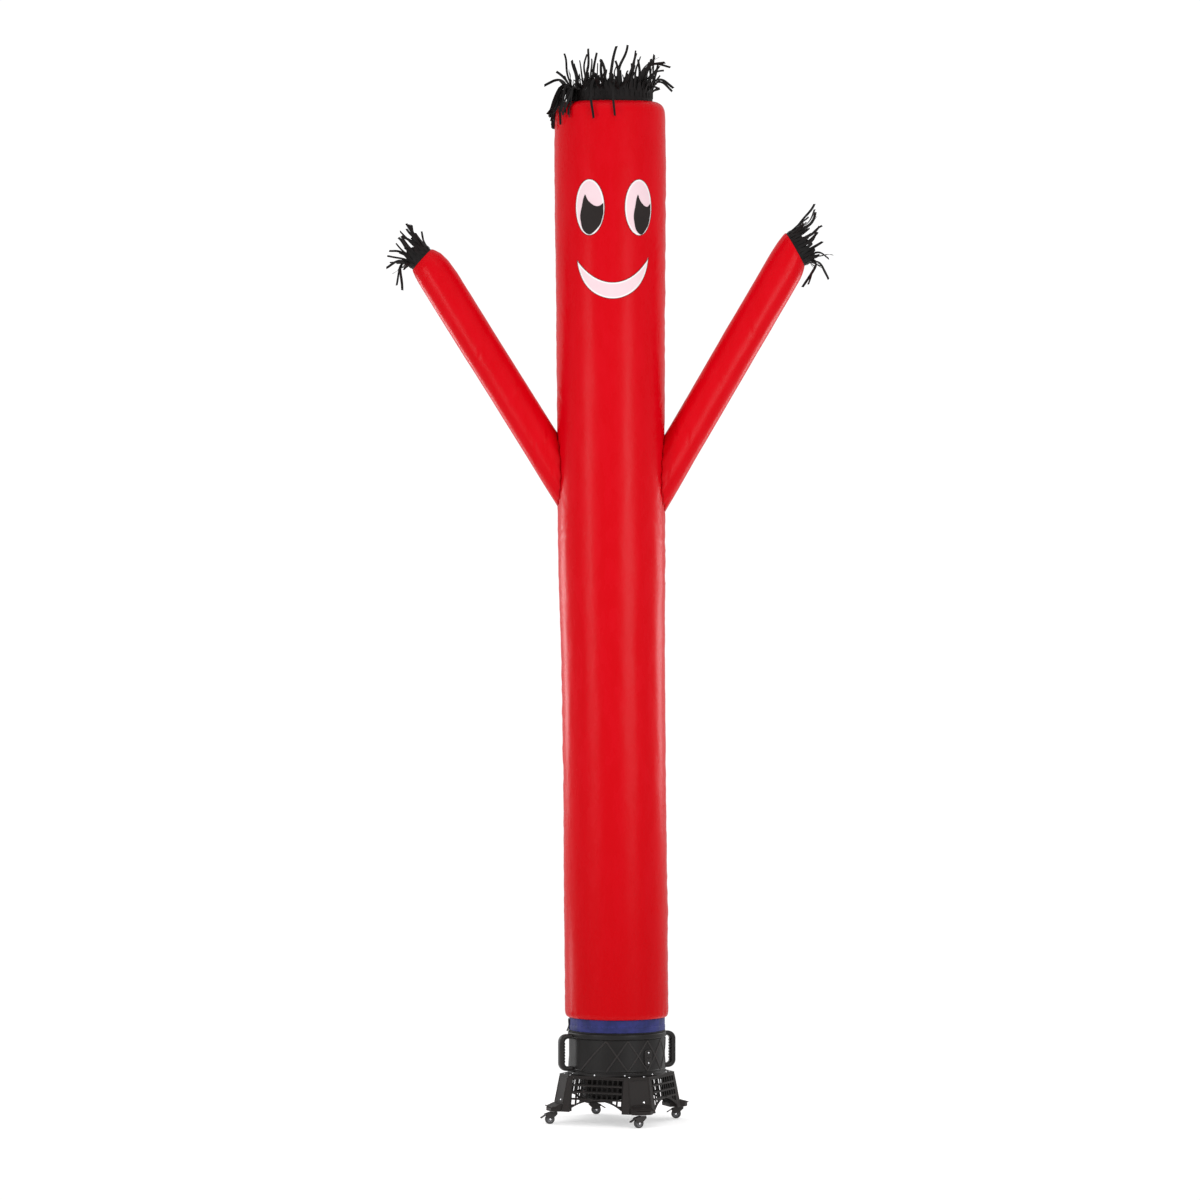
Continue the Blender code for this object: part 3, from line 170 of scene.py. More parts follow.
class Finish:
    """A material in the making: its node tree and its Principled shader."""

    def __init__(self, name):
        self.material = bpy.data.materials.new(name)
        self.material.use_nodes = True
        self.tree = self.material.node_tree
        self.shader = self.tree.nodes["Principled BSDF"]

    def join(self, socket, value):
        """Gives a socket a wire, a number or a colour of three shares."""
        if isinstance(value, Wire):
            self.tree.links.new(value.socket, socket)
        else:
            socket.default_value = (*value, 1.0) if socket.type == "RGBA" else value

    def node(self, kind, settings, sockets, out=0):
        """A new node: its settings first, then its sockets' values or wires. Gives one of its outputs."""
        made = self.tree.nodes.new(kind)
        for key, value in settings.items():
            if key == "stops":
                self.set_stops(made.color_ramp, value)
            else:
                setattr(made, key, value)
        for key, value in sockets.items():
            self.join(made.inputs[key], value)
        return Wire(self, made.outputs[out])

    def set_stops(self, ramp, stops):
        for at, _ in stops[1:-1]:
            ramp.elements.new(at)
        for element, (at, value) in zip(ramp.elements, stops):
            element.position = at
            element.color = (value, value, value, 1.0)

    def ramp(self, value, *stops):
        return self.node("ShaderNodeValToRGB", {"stops": stops}, {0: value})

    def place(self):
        return self.node("ShaderNodeTexCoord", {}, {}, "Object")

    def kept_value(self, name):
        """A value that the mesh keeps for each of its points."""
        return self.node("ShaderNodeAttribute", {"attribute_name": name}, {}, "Fac")

    def cloud(self, scale, detail=3.0, stretch=(1, 1, 1), stops=None):
        """Soft noise from 0 to 1 in the object's own space, with its contrast set by stops."""
        where = self.node("ShaderNodeVectorMath", {"operation": "MULTIPLY"}, {0: self.place(), 1: stretch})
        soft = self.node("ShaderNodeTexNoise", {}, {"Vector": where, "Scale": scale, "Detail": detail})
        return self.ramp(soft, *stops) if stops else soft

    def lowness(self, top, depth):
        """0 from a height upwards, rising to 1 a depth below it, in metres."""
        height = self.node("ShaderNodeSeparateXYZ", {}, {0: self.place()}, 2)
        return self.node("ShaderNodeMapRange", {}, {0: height, 1: top, 2: top - depth})

    def mix(self, share, first, second):
        return self.node("ShaderNodeMix", {"data_type": "RGBA"}, {0: share, 6: first, 7: second}, 2)

    def bump(self, height, distance, strength, below=None):
        sockets = {"Height": height, "Distance": distance, "Strength": strength}
        if below:
            sockets["Normal"] = below
        return self.node("ShaderNodeBump", {}, sockets)

    def threads(self, out, pitch):
        """Threads along one way of the mesh's own cloth map: 0 to 1 and back once for each pitch."""
        cloth = self.node("ShaderNodeUVMap", {"uv_map": "cloth"}, {})
        metres = self.node("ShaderNodeSeparateXYZ", {}, {0: cloth}, out)
        turns = self.node("ShaderNodeMath", {"operation": "SINE"}, {0: metres * (tau / pitch)})
        return turns * 0.5 + 0.5

    def weave(self, pitch, depth, below):
        return self.bump(self.threads(0, pitch) * self.threads(1, pitch), depth, 0.6, below)

    def done(self, **values):
        for key, value in values.items():
            self.join(self.shader.inputs[key.replace("_", " ")], value)
        print("finish", self.material.name, len(self.tree.nodes), "nodes")
        return self.material


# %% [markdown]
# ## The cloths
# Air dancers are sewn from coated nylon taffeta. Its plain weave is far finer than a millimetre, so from
# a few metres it reads as satin: smooth, with a soft broad sheen and a little whitening at the rim.

# %% Nylon finishes
THREAD = 0.0011  # pitch of the weave that is shown
RED = (0.72, 0.0006, 0.0070)
RED_DEEP = (0.64, 0.0003, 0.0045)
RED_WORN = (0.78, 0.004, 0.016)
RED_SEAM = (0.30, 0.0, 0.002)
RED_PAINTED_SHADE = (0.49, 0.0001, 0.0020)  # painted shade: the red is darkened towards the bottom, near the blower


def red_nylon():
    finish = Finish("red_nylon_taffeta")
    broad = finish.cloud(2.2, 2.0, (1, 1, 0.5))
    fine = finish.cloud(38.0, 4.0, (1, 1, 0.35), ((0.40, 0.0), (0.60, 0.5), (0.80, 1.0)))
    low = finish.lowness(1.40, 1.10)
    colour = finish.mix(broad, RED_DEEP, RED)
    colour = finish.mix(fine * 0.30, colour, RED_WORN)
    colour = finish.mix(finish.kept_value("seam") * 0.45, colour, RED_SEAM)
    # painted shade: the red darkens from 1.40 m down towards the blower
    colour = finish.mix(low * low * 0.85, colour, RED_PAINTED_SHADE)
    wrinkles = finish.bump(finish.cloud(16.0, 5.0, (1, 1, 0.45)), 0.0035, 0.30)
    return finish.done(
        Base_Color=colour,
        Roughness=0.23 + 0.07 * broad + 0.05 * fine,
        Normal=finish.weave(THREAD, 0.00006, wrinkles),
        Specular_IOR_Level=0.085,
    )


def plain_cloth(name, low, high, roughness, pitch, sheen, cloudy=30.0):
    """A matt cloth whose colour drifts between two shades."""
    finish = Finish(name)
    drift = finish.cloud(cloudy, 4.0, stops=((0.35, 0.0), (0.5, 0.5), (0.68, 1.0)))
    nap = finish.bump(finish.cloud(120.0), 0.0008, 0.35)
    return finish.done(
        Base_Color=finish.mix(drift, low, high),
        Roughness=roughness + 0.10 * drift,
        Normal=finish.weave(pitch, 0.0001, nap),
        Sheen_Weight=sheen,
        Specular_IOR_Level=0.20,
    )


def face_cloth():
    """Pinkish white cloth with a clean white edge."""
    finish = Finish("white_nylon_face")
    inside = finish.ramp(finish.kept_value("edge"), (0.0, 0.0), (0.55, 0.0), (0.80, 1.0), (1.0, 1.0))
    drift = finish.cloud(26.0)
    body = finish.mix(drift, (0.92, 0.66, 0.72), (0.97, 0.76, 0.80))
    return finish.done(
        Base_Color=finish.mix(1.0 - inside, body, (1.0, 0.97, 0.97)),
        Roughness=0.55 + 0.1 * drift,
        Normal=finish.weave(THREAD, 0.00006, finish.bump(finish.cloud(90.0), 0.0006, 0.3)),
        Sheen_Weight=0.05,
        Specular_IOR_Level=0.35,
    )


def sewing_thread(name, low, high):
    return plain_cloth(name, low, high, 0.6, 0.0005, 0.1)


RED_NYLON = red_nylon()
BLACK_NYLON = plain_cloth(
    "black_nylon_strips", (0.0045, 0.0035, 0.0035), (0.011, 0.009, 0.009), 0.55, THREAD, 0.01
)
PUPIL_NYLON = plain_cloth(
    "black_nylon_pupil", (0.012, 0.0085, 0.0080), (0.022, 0.016, 0.015), 0.50, THREAD, 0.02, 14.0
)
BLUE_NYLON = plain_cloth(
    "blue_nylon_cuff", (0.014, 0.019, 0.098), (0.026, 0.030, 0.160), 0.50, 0.0016, 0.06, 40.0
)
WEBBING = plain_cloth(
    "black_webbing_tape", (0.006, 0.006, 0.007), (0.013, 0.012, 0.014), 0.75, 0.0024, 0.10
)
RED_THREAD = sewing_thread("red_thread", (0.42, 0.0, 0.004), (0.50, 0.001, 0.006))
BROWN_THREAD = sewing_thread("brown_thread", (0.14, 0.018, 0.018), (0.20, 0.028, 0.026))
BLUE_THREAD = sewing_thread("blue_thread", (0.05, 0.055, 0.26), (0.07, 0.07, 0.33))
FACE_NYLON = face_cloth()

# %% [markdown]
# ## Moulded plastic, rubber and metal
# The blower is moulded in black polypropylene with a fine spark texture. It is never quite black: the
# grain catches light, edges rub paler, and a little dust settles in it. Screws and the casters' fittings are
# bright plated steel.

# %% Hard finishes
PLASTIC_TINT = (1.0, 0.86, 0.82)
PLASTIC_WORN = (0.060, 0.053, 0.051)


def moulded_plastic(name, shade, specular):
    finish = Finish(name)
    patchy = finish.cloud(14.0, 4.0, stops=((0.35, 0.0), (0.55, 0.4), (0.75, 1.0)))
    edges = finish.node("ShaderNodeNewGeometry", {}, {}, "Pointiness")
    worn = finish.ramp(edges, (0.0, 0.0), (0.515, 0.0), (0.56, 1.0), (1.0, 1.0))
    dark, pale = ([depth * part for part in PLASTIC_TINT] for depth in (shade, 1.65 * shade))
    return finish.done(
        Base_Color=finish.mix(worn * 0.35, finish.mix(patchy, dark, pale), PLASTIC_WORN),
        Roughness=0.38 + 0.12 * patchy,
        Normal=finish.bump(finish.cloud(900.0, 2.0), 0.00025, 0.5),
        Specular_IOR_Level=specular,
    )


def rubber():
    finish = Finish("caster_tread_rubber")
    scuff = finish.cloud(150.0, 4.0)
    return finish.done(
        Base_Color=finish.mix(scuff, (0.016, 0.016, 0.016), (0.045, 0.043, 0.042)),
        Roughness=0.55 + 0.2 * scuff,
        Normal=finish.bump(finish.cloud(700.0, 2.0), 0.0002, 0.4),
    )


def plated_steel(name, low, high, roughness):
    finish = Finish(name)
    brushed = finish.cloud(60.0, 3.0, (1, 1, 12))
    return finish.done(
        Base_Color=finish.mix(brushed, low, high),
        Metallic=1.0,
        Roughness=roughness + 0.12 * brushed,
        Normal=finish.bump(finish.cloud(400.0, 2.0, (1, 1, 6)), 0.0001, 0.3),
    )


PLASTIC = moulded_plastic("black_moulded_plastic", 0.0064, 0.27)
BASE_PLASTIC = moulded_plastic("black_base_plastic", 0.0052, 0.07)
RUBBER = rubber()
CHROME = plated_steel("bright_plated_steel", (0.62, 0.62, 0.64), (0.86, 0.86, 0.88), 0.16)
MOTOR_STEEL = plated_steel("motor_housing_steel", (0.16, 0.16, 0.17), (0.30, 0.30, 0.31), 0.34)

# %% [markdown]
# ## From points to pieces
# Cloth is easiest to shape as a grid: rows of points with quads between them. Each grid also gets a cloth map
# in metres, so that the weave is the same size on every piece, and may carry named values for each point.


# %% Grids, pieces and walls
def running(lengths):
    """Lengths added up from 0."""
    return np.concatenate(([0.0], np.cumsum(lengths)))


def grid_mesh(points, closed=True, cloth=None, values=None):
    """Quads through rows of points. closed joins each row's end to its start."""
    points = np.asarray(points, dtype=float)
    rows, columns = points.shape[:2]
    if cloth is None:
        along = np.linalg.norm(np.diff(points, axis=1, append=points[:, :1]), axis=2).mean(axis=0)
        up = np.linalg.norm(np.diff(points, axis=0), axis=2).mean(axis=1)
        cloth = (running(along), running(up))
    low = np.arange(rows - 1)[:, None]
    left = np.arange(columns if closed else columns - 1)[None]
    corners = ((low, left), (low, left + 1), (low + 1, left + 1), (low + 1, left))
    faces = np.stack([row * columns + column % columns for row, column in corners], axis=-1)
    flat = np.empty((*faces.shape, 2))
    for k, (row, column) in enumerate(corners):
        flat[:, :, k, 0] = cloth[0][column]
        flat[:, :, k, 1] = cloth[1][row]
    mesh = bpy.data.meshes.new("grid")
    mesh.from_pydata(points.reshape(-1, 3).tolist(), [], faces.reshape(-1, 4).tolist())
    mesh.uv_layers.new(name="cloth").data.foreach_set("uv", flat.ravel())
    for key, array in (values or {}).items():
        mesh.attributes.new(key, "FLOAT", "POINT").data.foreach_set("value", np.asarray(array, float))
    return mesh


def skin(bm, rings, caps=True):
    """Quads between neighbouring rings of vertices, and a face on each end. Gives the quads."""
    quads = []
    for low, high in zip(rings, rings[1:]):
        for j in range(len(low)):
            k = (j + 1) % len(low)
            quads.append(bm.faces.new((low[j], low[k], high[k], high[j])))
    if caps:
        bm.faces.new(rings[0][::-1])
        bm.faces.new(rings[-1])
    return quads


def piece(name, shape, finish, body=BODY, stands_for=(), sharp=40):
    """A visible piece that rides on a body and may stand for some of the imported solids."""
    mesh = shape
    if isinstance(shape, bmesh.types.BMesh):
        bmesh.ops.recalc_face_normals(shape, faces=shape.faces)
        mesh = bpy.data.meshes.new(name)
        shape.to_mesh(mesh)
        shape.free()
    mesh.name = name
    mesh.materials.append(finish)
    mesh.shade_smooth()
    mesh.set_sharp_from_angle(angle=radians(sharp))
    obj = add_object(name, mesh)
    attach(obj, body)
    if stands_for:
        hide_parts(*stands_for)
    return obj


def modify(obj, name, kind, **settings):
    modifier = obj.modifiers.new(name, kind)
    for key, value in settings.items():
        setattr(modifier, key, value)
    return obj


def wall(obj, thickness, offset=-1.0, even=True):
    return modify(obj, "wall", "SOLIDIFY", thickness=thickness, offset=offset, use_even_offset=even)


def blend(rows, x, column=1):
    """The value of a column at x, on straight lines between rows whose first column rises."""
    return float(np.interp(x, [row[0] for row in rows], [row[column] for row in rows]))


def bell(x, width):
    return exp(-((x / width) ** 2))


def ease(t):
    t = min(max(t, 0.0), 1.0)
    return t * t * (3 - 2 * t)


def waver(x, y, z):
    """Slow noise between -1 and 1 at a place."""
    return noise.noise((x, y, z))


def ring_turns(count):
    return [tau * j / count for j in range(count)]


def outward(turn):
    return Vector((cos(turn), sin(turn), 0.0))


def arc_from(at, turn, radius):
    """Metres along a ring from one turn to another, the short way round."""
    return radius * remainder(turn - at, tau)


# %% [markdown]
# ## The tube
# The torso is a plain tube, 0.30 m across and 2.6 m tall, blown up tight. What makes it cloth is small:
# side seams that draw in and pucker, creases beside the face, gathers where the arms, the cuff and
# the fringe are sewn on, and a slow waver all over. Each of these is a height added to the tube's wall.

# %% The torso's profile
TORSO_SECTIONS = (
    # height, sideways lean of the centre line, radius
    (0.317, 0.000, 0.14725),
    (0.610, -0.003, 0.14750),
    (0.970, -0.007, 0.14625),
    (1.320, -0.011, 0.14775),
    (1.560, -0.014, 0.15200),
    (1.900, -0.017, 0.15350),
    (2.320, -0.0185, 0.15525),
    (2.700, -0.020, 0.15850),
    (2.861, -0.021, 0.15700),
)
FOOT_Z = 0.2978
FOOT_INNER = 0.1325
FOOT_FLAT = 0.1390
FOOT_ROLL = 0.0192
SHOULDER = 0.030
CROWN_Z = 2.891
CROWN_INNER = 0.1200
NYLON = 0.0012  # wall of the cloth

ARM_ROOTS = {"left": Vector((-0.170, 0.0, 1.852)), "right": Vector((0.136, 0.0, 1.840))}
ARM_ENDS = {"left": Vector((-0.545, 0.0, 2.451)), "right": Vector((0.5055, 0.0, 2.474))}
ARM_RADIUS = 0.0555
CREASES = (
    # turn from the front, height, length, slope, depth and half width
    (47, 2.505, 0.060, 62, 0.0011, 0.0045),
    (55, 2.470, 0.075, 48, 0.0013, 0.0050),
    (43, 2.440, 0.050, 70, 0.0010, 0.0040),
    (60, 2.415, 0.060, 40, 0.0012, 0.0045),
    (51, 2.380, 0.045, 66, 0.0010, 0.0040),
    (64, 2.560, 0.055, 55, 0.0010, 0.0045),
    (38, 2.350, 0.040, 58, 0.0008, 0.0035),
    (-62, 2.300, 0.060, -50, 0.0010, 0.0050),
    (-70, 2.050, 0.090, -38, 0.0014, 0.0060),
    (-64, 1.985, 0.070, -28, 0.0012, 0.0055),
    (-58, 1.700, 0.080, 36, 0.0013, 0.0060),
    (-66, 1.655, 0.060, 24, 0.0010, 0.0050),
    (66, 2.035, 0.085, 40, 0.0013, 0.0060),
    (60, 1.960, 0.060, 30, 0.0011, 0.0050),
    (58, 1.690, 0.080, -38, 0.0013, 0.0060),
    (64, 1.640, 0.055, -24, 0.0010, 0.0050),
    (20, 0.420, 0.050, 80, 0.0009, 0.0050),
    (-35, 0.400, 0.060, 84, 0.0010, 0.0050),
    (130, 0.430, 0.060, 78, 0.0010, 0.0050),
    (200, 1.300, 0.120, 20, 0.0010, 0.0080),
    (165, 2.420, 0.100, -32, 0.0011, 0.0070),
    (215, 2.100, 0.110, 36, 0.0012, 0.0070),
    (150, 1.780, 0.100, -30, 0.0012, 0.0070),
)

print(len(TORSO_SECTIONS), "sections and", len(CREASES), "creases")


# %% The heights on the torso's wall
def arm_line(side):
    along = ARM_ENDS[side] - ARM_ROOTS[side]
    return along.normalized(), along.length


def across_of(normal):
    """The direction across a line that lies in the plane of the arms."""
    return Vector((normal.z, 0.0, -normal.x))


def seam_shape(arc, z, seed):
    """Height of the cloth beside an upright seam: a drawn-in valley and uneven puckers."""
    pucker = waver(z * 34.0, seed, 0.5) + 0.5 * waver(z * 78.0, seed, 4.5)
    uneven = 0.55 + 0.45 * waver(z * 2.3, seed, 9.0)
    return 0.0024 * pucker * bell(arc, 0.024) * uneven - 0.0013 * bell(arc, 0.0050)


def crease_shape(arc, rise, length, slope, depth, width, bow=0.0, shoulder=0.5):
    """A slanted valley with a low shoulder above it, which fades out at both ends."""
    tilt = radians(slope)
    along = arc * cos(tilt) + rise * sin(tilt)
    across = rise * cos(tilt) - arc * sin(tilt) + bow * along**2 / length
    ridge = shoulder * bell(across - 1.9 * width, 1.2 * width)
    return depth * bell(along, 0.42 * length) * (ridge - bell(across, width))


def arm_gather(point):
    """Height round the seam where an arm is sewn on."""
    total = 0.0
    for side, root in ARM_ROOTS.items():
        off = point - root
        if off.length < 0.20:
            along, _ = arm_line(side)
            out = off - off.dot(along) * along
            away = max(out.length - ARM_RADIUS, 0.0)
            turn = atan2(out.y, out.dot(across_of(along)))
            ruffle = sin(17 * turn + 2.5 * waver(turn, 3.0, root.x))
            total += exp(-away / 0.016) * (0.0011 * ruffle - 0.0016)
    return total


def torso_height(turn, z, lean, radius):
    """How far the cloth stands out from the plain tube."""
    x, y = cos(turn), sin(turn)
    height = 0.0016 * waver(1.4 * x, 1.4 * y, 1.5 * z) + 0.0006 * waver(5 * x, 5 * y, 9 * z + 20)
    for at, seed in ((0.0, 1.0), (pi, 7.0)):
        height += seam_shape(arc_from(at, turn, radius), z, seed)
    for at, high, length, *form in CREASES:
        arc, rise = arc_from(radians(at - 90), turn, radius), z - high
        if abs(arc) + abs(rise) <= length:
            height += crease_shape(arc, rise, length, *form, 0.12, 0.55)
    height += arm_gather(Vector((lean + radius * x, radius * y, z)))
    foot = exp(-max(z - FOOT_Z, 0.0) / 0.022)
    crown = exp(-max(CROWN_Z - z, 0.0) / 0.020)
    height += foot * 0.0011 * sin(38 * turn + 3 * waver(3 * x, 3 * y, 1.0))
    height += crown * 0.0010 * sin(46 * turn + 3 * waver(3 * x, 3 * y, 5.0))
    return height


# %% The torso's rings
def torso_at(turn, z, lift=0.0):
    """A point on the upright part of the torso's cloth, lifted off it."""
    lean, radius = blend(TORSO_SECTIONS, z), blend(TORSO_SECTIONS, z, 2)
    reach = radius + torso_height(turn, z, lean, radius) + lift
    return AXIS + Vector((lean + reach * cos(turn), reach * sin(turn), z))


def torso_profile(body_rows):
    """(height, lean, radius, outward, upward) from the turned-in foot to the turned-in crown."""
    low, high = TORSO_SECTIONS[0], TORSO_SECTIONS[-1]
    rows = [(FOOT_Z, 0.0, radius, 0.0, 0.0) for radius in (FOOT_INNER, FOOT_FLAT)]
    for i in range(1, 7):
        turn = pi / 2 * i / 7
        radius = FOOT_FLAT + (low[2] - FOOT_FLAT) * sin(turn)
        rows.append((FOOT_Z + FOOT_ROLL * (1 - cos(turn)), 0.0, radius, sin(turn), 0.0))
    for i in range(body_rows + 1):
        z = low[0] + (high[0] - low[0]) * i / body_rows
        rows.append((z, blend(TORSO_SECTIONS, z), blend(TORSO_SECTIONS, z, 2), 1.0, 0.0))
    for i in range(1, 9):
        turn = pi / 2 * i / 8
        radius = high[2] - SHOULDER * (1 - cos(turn))
        rows.append((high[0] + SHOULDER * sin(turn), high[1], radius, cos(turn), sin(turn)))
    rows.append((CROWN_Z, high[1], CROWN_INNER, 0.0, 0.0))
    return rows


# %% Sew the torso
TORSO_ROWS = 330
TORSO_COLUMNS = 132
TORSO_MEAN = 0.1535  # radius by which the cloth map is laid out
CROWD = 0.40  # how much closer the columns stand at the side seams


def make_torso():
    turns = [turn - CROWD * sin(2 * turn) / 2 for turn in ring_turns(TORSO_COLUMNS)]
    points = []
    seam = []
    for z, lean, radius, out, up in torso_profile(TORSO_ROWS):
        row = []
        for turn in turns:
            height = torso_height(turn, z, lean, radius) if out or up else 0.0
            reach = radius + height * out
            row.append((AXIS_X + lean + reach * cos(turn), reach * sin(turn), z + height * up))
            seam.append(max(bell(arc_from(at, turn, radius), 0.0035) for at in (0.0, pi)))
        points.append(row)
    up = np.linalg.norm(np.diff(np.array(points)[:, 0], axis=0), axis=1)
    cloth = (TORSO_MEAN * np.array(turns + [tau]), running(up))
    mesh = grid_mesh(points, True, cloth, {"seam": seam})
    return wall(piece("torso_tube_cloth", mesh, RED_NYLON, BODY, ("torso_tube",)), NYLON)


torso = make_torso()
print("torso", len(torso.data.polygons), "quads")

# %% [markdown]
# ## The arms
# Each arm is a narrower tube sewn into a round hole in the torso's side. Its first ring therefore isn't
# flat: every point of it runs along the arm until it meets the torso's wall. The rest of the arm is blended
# from that saddle-shaped ring to the open hand, where the ring tilts and closes a little round the fringe.

# %% The arms' sections
ARM_SECTIONS = {
    # share of the arm's length, radius, tilt of the ring towards the outside, shift towards the outside
    "left": (
        (0.00, 0.0560, 0.0, 0.000),
        (0.10, 0.0550, 0.0, 0.000),
        (0.40, 0.0545, 0.0, 0.000),
        (0.88, 0.0545, 2.0, 0.000),
        (0.935, 0.0530, 6.0, 0.001),
        (0.970, 0.0495, 11.0, 0.004),
        (0.992, 0.0435, 15.0, 0.008),
        (1.000, 0.0400, 16.0, 0.010),
    ),
    "right": (
        (0.00, 0.0565, 0.0, 0.000),
        (0.10, 0.0555, 0.0, 0.000),
        (0.40, 0.0550, 0.0, 0.000),
        (0.88, 0.0555, 6.0, 0.000),
        (0.930, 0.0565, 14.0, 0.000),
        (0.965, 0.0570, 22.0, 0.000),
        (0.990, 0.0560, 28.0, 0.000),
        (1.000, 0.0545, 30.0, 0.000),
    ),
}
ARM_COLUMNS = 80
ARM_ROWS = 120
HAND_LIP = 0.0002
BAND = 0.0022  # wall of the fringes' bands
ARM_SEAM = pi / 2  # the arm's own seam runs along its back
ARM_SEEDS = {"left": 30.0, "right": 50.0}
ARM_CREASES = {
    # share of its length, turn round it, length, slope, depth and half width
    "left": (
        (0.06, -100, 0.050, 20, 0.0012, 0.0045),
        (0.10, -60, 0.060, -30, 0.0013, 0.0050),
        (0.17, -120, 0.070, 35, 0.0010, 0.0050),
        (0.34, -75, 0.080, -18, 0.0008, 0.0050),
        (0.58, -105, 0.070, 24, 0.0008, 0.0050),
        (0.90, -80, 0.050, -40, 0.0011, 0.0045),
        (0.93, -130, 0.040, 30, 0.0010, 0.0040),
        (0.12, 90, 0.060, 26, 0.0012, 0.0050),
        (0.55, 80, 0.080, -22, 0.0010, 0.0055),
    ),
    "right": (
        (0.05, -80, 0.050, -24, 0.0012, 0.0045),
        (0.11, -125, 0.060, 30, 0.0013, 0.0050),
        (0.19, -70, 0.070, -32, 0.0010, 0.0050),
        (0.42, -110, 0.080, 20, 0.0008, 0.0050),
        (0.66, -85, 0.070, -26, 0.0008, 0.0050),
        (0.89, -100, 0.050, 42, 0.0011, 0.0045),
        (0.10, 100, 0.060, -26, 0.0012, 0.0050),
        (0.60, 95, 0.080, 22, 0.0010, 0.0055),
    ),
}

print({side: round((ARM_ENDS[side] - ARM_ROOTS[side]).length, 3) for side in ARM_ROOTS}, "metres of arm")


# %% Sew the arms
def arm_ring(side, share):
    """Centre, normal and radius of the arm's ring at a share of its length, which may be below zero."""
    along, length = arm_line(side)
    radius, tilt, shift = (blend(ARM_SECTIONS[side], share, column) for column in (1, 2, 3))
    turn = atan2(along.x, along.z) + copysign(radians(tilt), along.x)
    centre = ARM_ROOTS[side] + share * length * along + copysign(shift, along.x) * across_of(along)
    return centre, Vector((sin(turn), 0.0, cos(turn))), radius


def ring_point(centre, normal, radius, turn):
    return centre + radius * (cos(turn) * across_of(normal) + sin(turn) * Vector((0.0, 1.0, 0.0)))


def arm_height(side, share, turn, radius):
    """How far the arm's cloth stands out from the plain tube."""
    _, length = arm_line(side)
    seed = ARM_SEEDS[side]
    x, y = cos(turn), sin(turn)
    height = 0.0010 * waver(1.2 * x, 1.2 * y, 3 * share + seed)
    height += 0.0004 * waver(3 * x, 3 * y, 12 * share + seed)
    root = exp(-max(share, 0.0) * length / 0.020)
    hand = exp(-max(1.0 - share, 0.0) * length / 0.016)
    height += root * (0.0013 * sin(15 * turn + 2.5 * waver(x, y, seed)) - 0.0010)
    height += hand * 0.0009 * sin(19 * turn + 3 * waver(x, y, seed + 8))
    height += 0.7 * seam_shape(arc_from(ARM_SEAM, turn, radius), share * length, seed)
    for at, round_at, *form in ARM_CREASES[side]:
        height += crease_shape(arc_from(radians(round_at), turn, radius), (share - at) * length, *form)
    return height


def arm_root_share(side, turn):
    """The share of the arm's length at which this line along the arm meets the torso."""
    low, high = -0.20, 0.20
    for _ in range(26):
        middle = (low + high) / 2
        centre, normal, radius = arm_ring(side, middle)
        point = ring_point(centre, normal, radius + arm_height(side, 0.0, turn, radius), turn)
        lean, wall_at = blend(TORSO_SECTIONS, point.z), blend(TORSO_SECTIONS, point.z, 2)
        wall_at += torso_height(atan2(point.y, point.x - lean), point.z, lean, wall_at) + GAP
        if hypot(point.x - lean, point.y) < wall_at:
            low = middle
        else:
            high = middle
    return high


def make_arm(side):
    turns = ring_turns(ARM_COLUMNS)
    starts = [arm_root_share(side, turn) for turn in turns]
    points = []
    seam = []
    for i in range(ARM_ROWS + 1):
        step = i / ARM_ROWS
        step = 0.35 * step + 0.65 * (1 - (1 - step) ** 1.5)
        row = []
        for turn, start in zip(turns, starts):
            share = start + (1.0 - start) * step
            centre, normal, radius = arm_ring(side, share)
            reach = radius + arm_height(side, share - start * (1 - step), turn, radius)
            row.append(tuple(AXIS + ring_point(centre, normal, reach, turn)))
            from_root = exp(-(share - start) * 0.7 / 0.0035)
            seam.append(max(bell(arc_from(ARM_SEAM, turn, radius), 0.003), from_root))
        points.append(row)
    centre, normal, radius = arm_ring(side, 1.0)
    lip = AXIS + centre + HAND_LIP * normal
    points.append([tuple(ring_point(lip, normal, radius - 2 * BAND, turn)) for turn in turns])
    seam += [1.0] * len(turns)
    cloth = (ARM_RADIUS * np.array(turns + [tau]), np.linspace(0, arm_line(side)[1], ARM_ROWS + 2))
    mesh = grid_mesh(points, True, cloth, {"seam": seam})
    arm = piece(f"arm_{side}_cloth", mesh, RED_NYLON, BODY, (f"arm_{side}",))
    return wall(arm, NYLON), starts


arms = {}
arm_starts = {}
for side in ARM_ROOTS:
    arms[side], arm_starts[side] = make_arm(side)
print("arms", [len(arm.data.polygons) for arm in arms.values()], "quads")

# %% [markdown]
# The torso has a round hole behind each arm, so that air can reach the hand. A Boolean cuts it from the
# finished wall.


# %% Cut the arms' air holes
def cut_air_hole(side):
    along, _ = arm_line(side)
    bm = bmesh.new()
    rings = []
    for step in (-0.10, 0.10):
        centre = AXIS + ARM_ROOTS[side] + step * along
        ring = [ring_point(centre, along, ARM_RADIUS - 2 * NYLON, turn) for turn in ring_turns(48)]
        rings.append([bm.verts.new(point) for point in ring])
    skin(bm, rings)
    mesh = bpy.data.meshes.new("air_hole")
    bm.to_mesh(mesh)
    bm.free()
    cutter = add_object("air_hole", mesh)
    modify(torso, "air_hole", "BOOLEAN", operation="DIFFERENCE", solver="EXACT", object=cutter)
    bpy.context.view_layer.update()
    whole = bpy.data.meshes.new_from_object(torso.evaluated_get(bpy.context.evaluated_depsgraph_get()))
    torso.modifiers.clear()
    torso.data = whole
    bpy.data.objects.remove(cutter, do_unlink=True)


for side in ARM_ROOTS:
    cut_air_hole(side)
print("torso now", len(torso.data.polygons), "faces")

# %% [markdown]
# ## The face
# The eyes and the smile are cut from white cloth and zigzagged on, with the pupils on top. Each piece is
# laid out flat, as arc and height on the torso, and then wrapped on: every point is looked up on the torso's
# own cloth, so the face follows its creases. How far a point is from the piece's edge is kept with it,
# because the finish leaves a clean white border there.

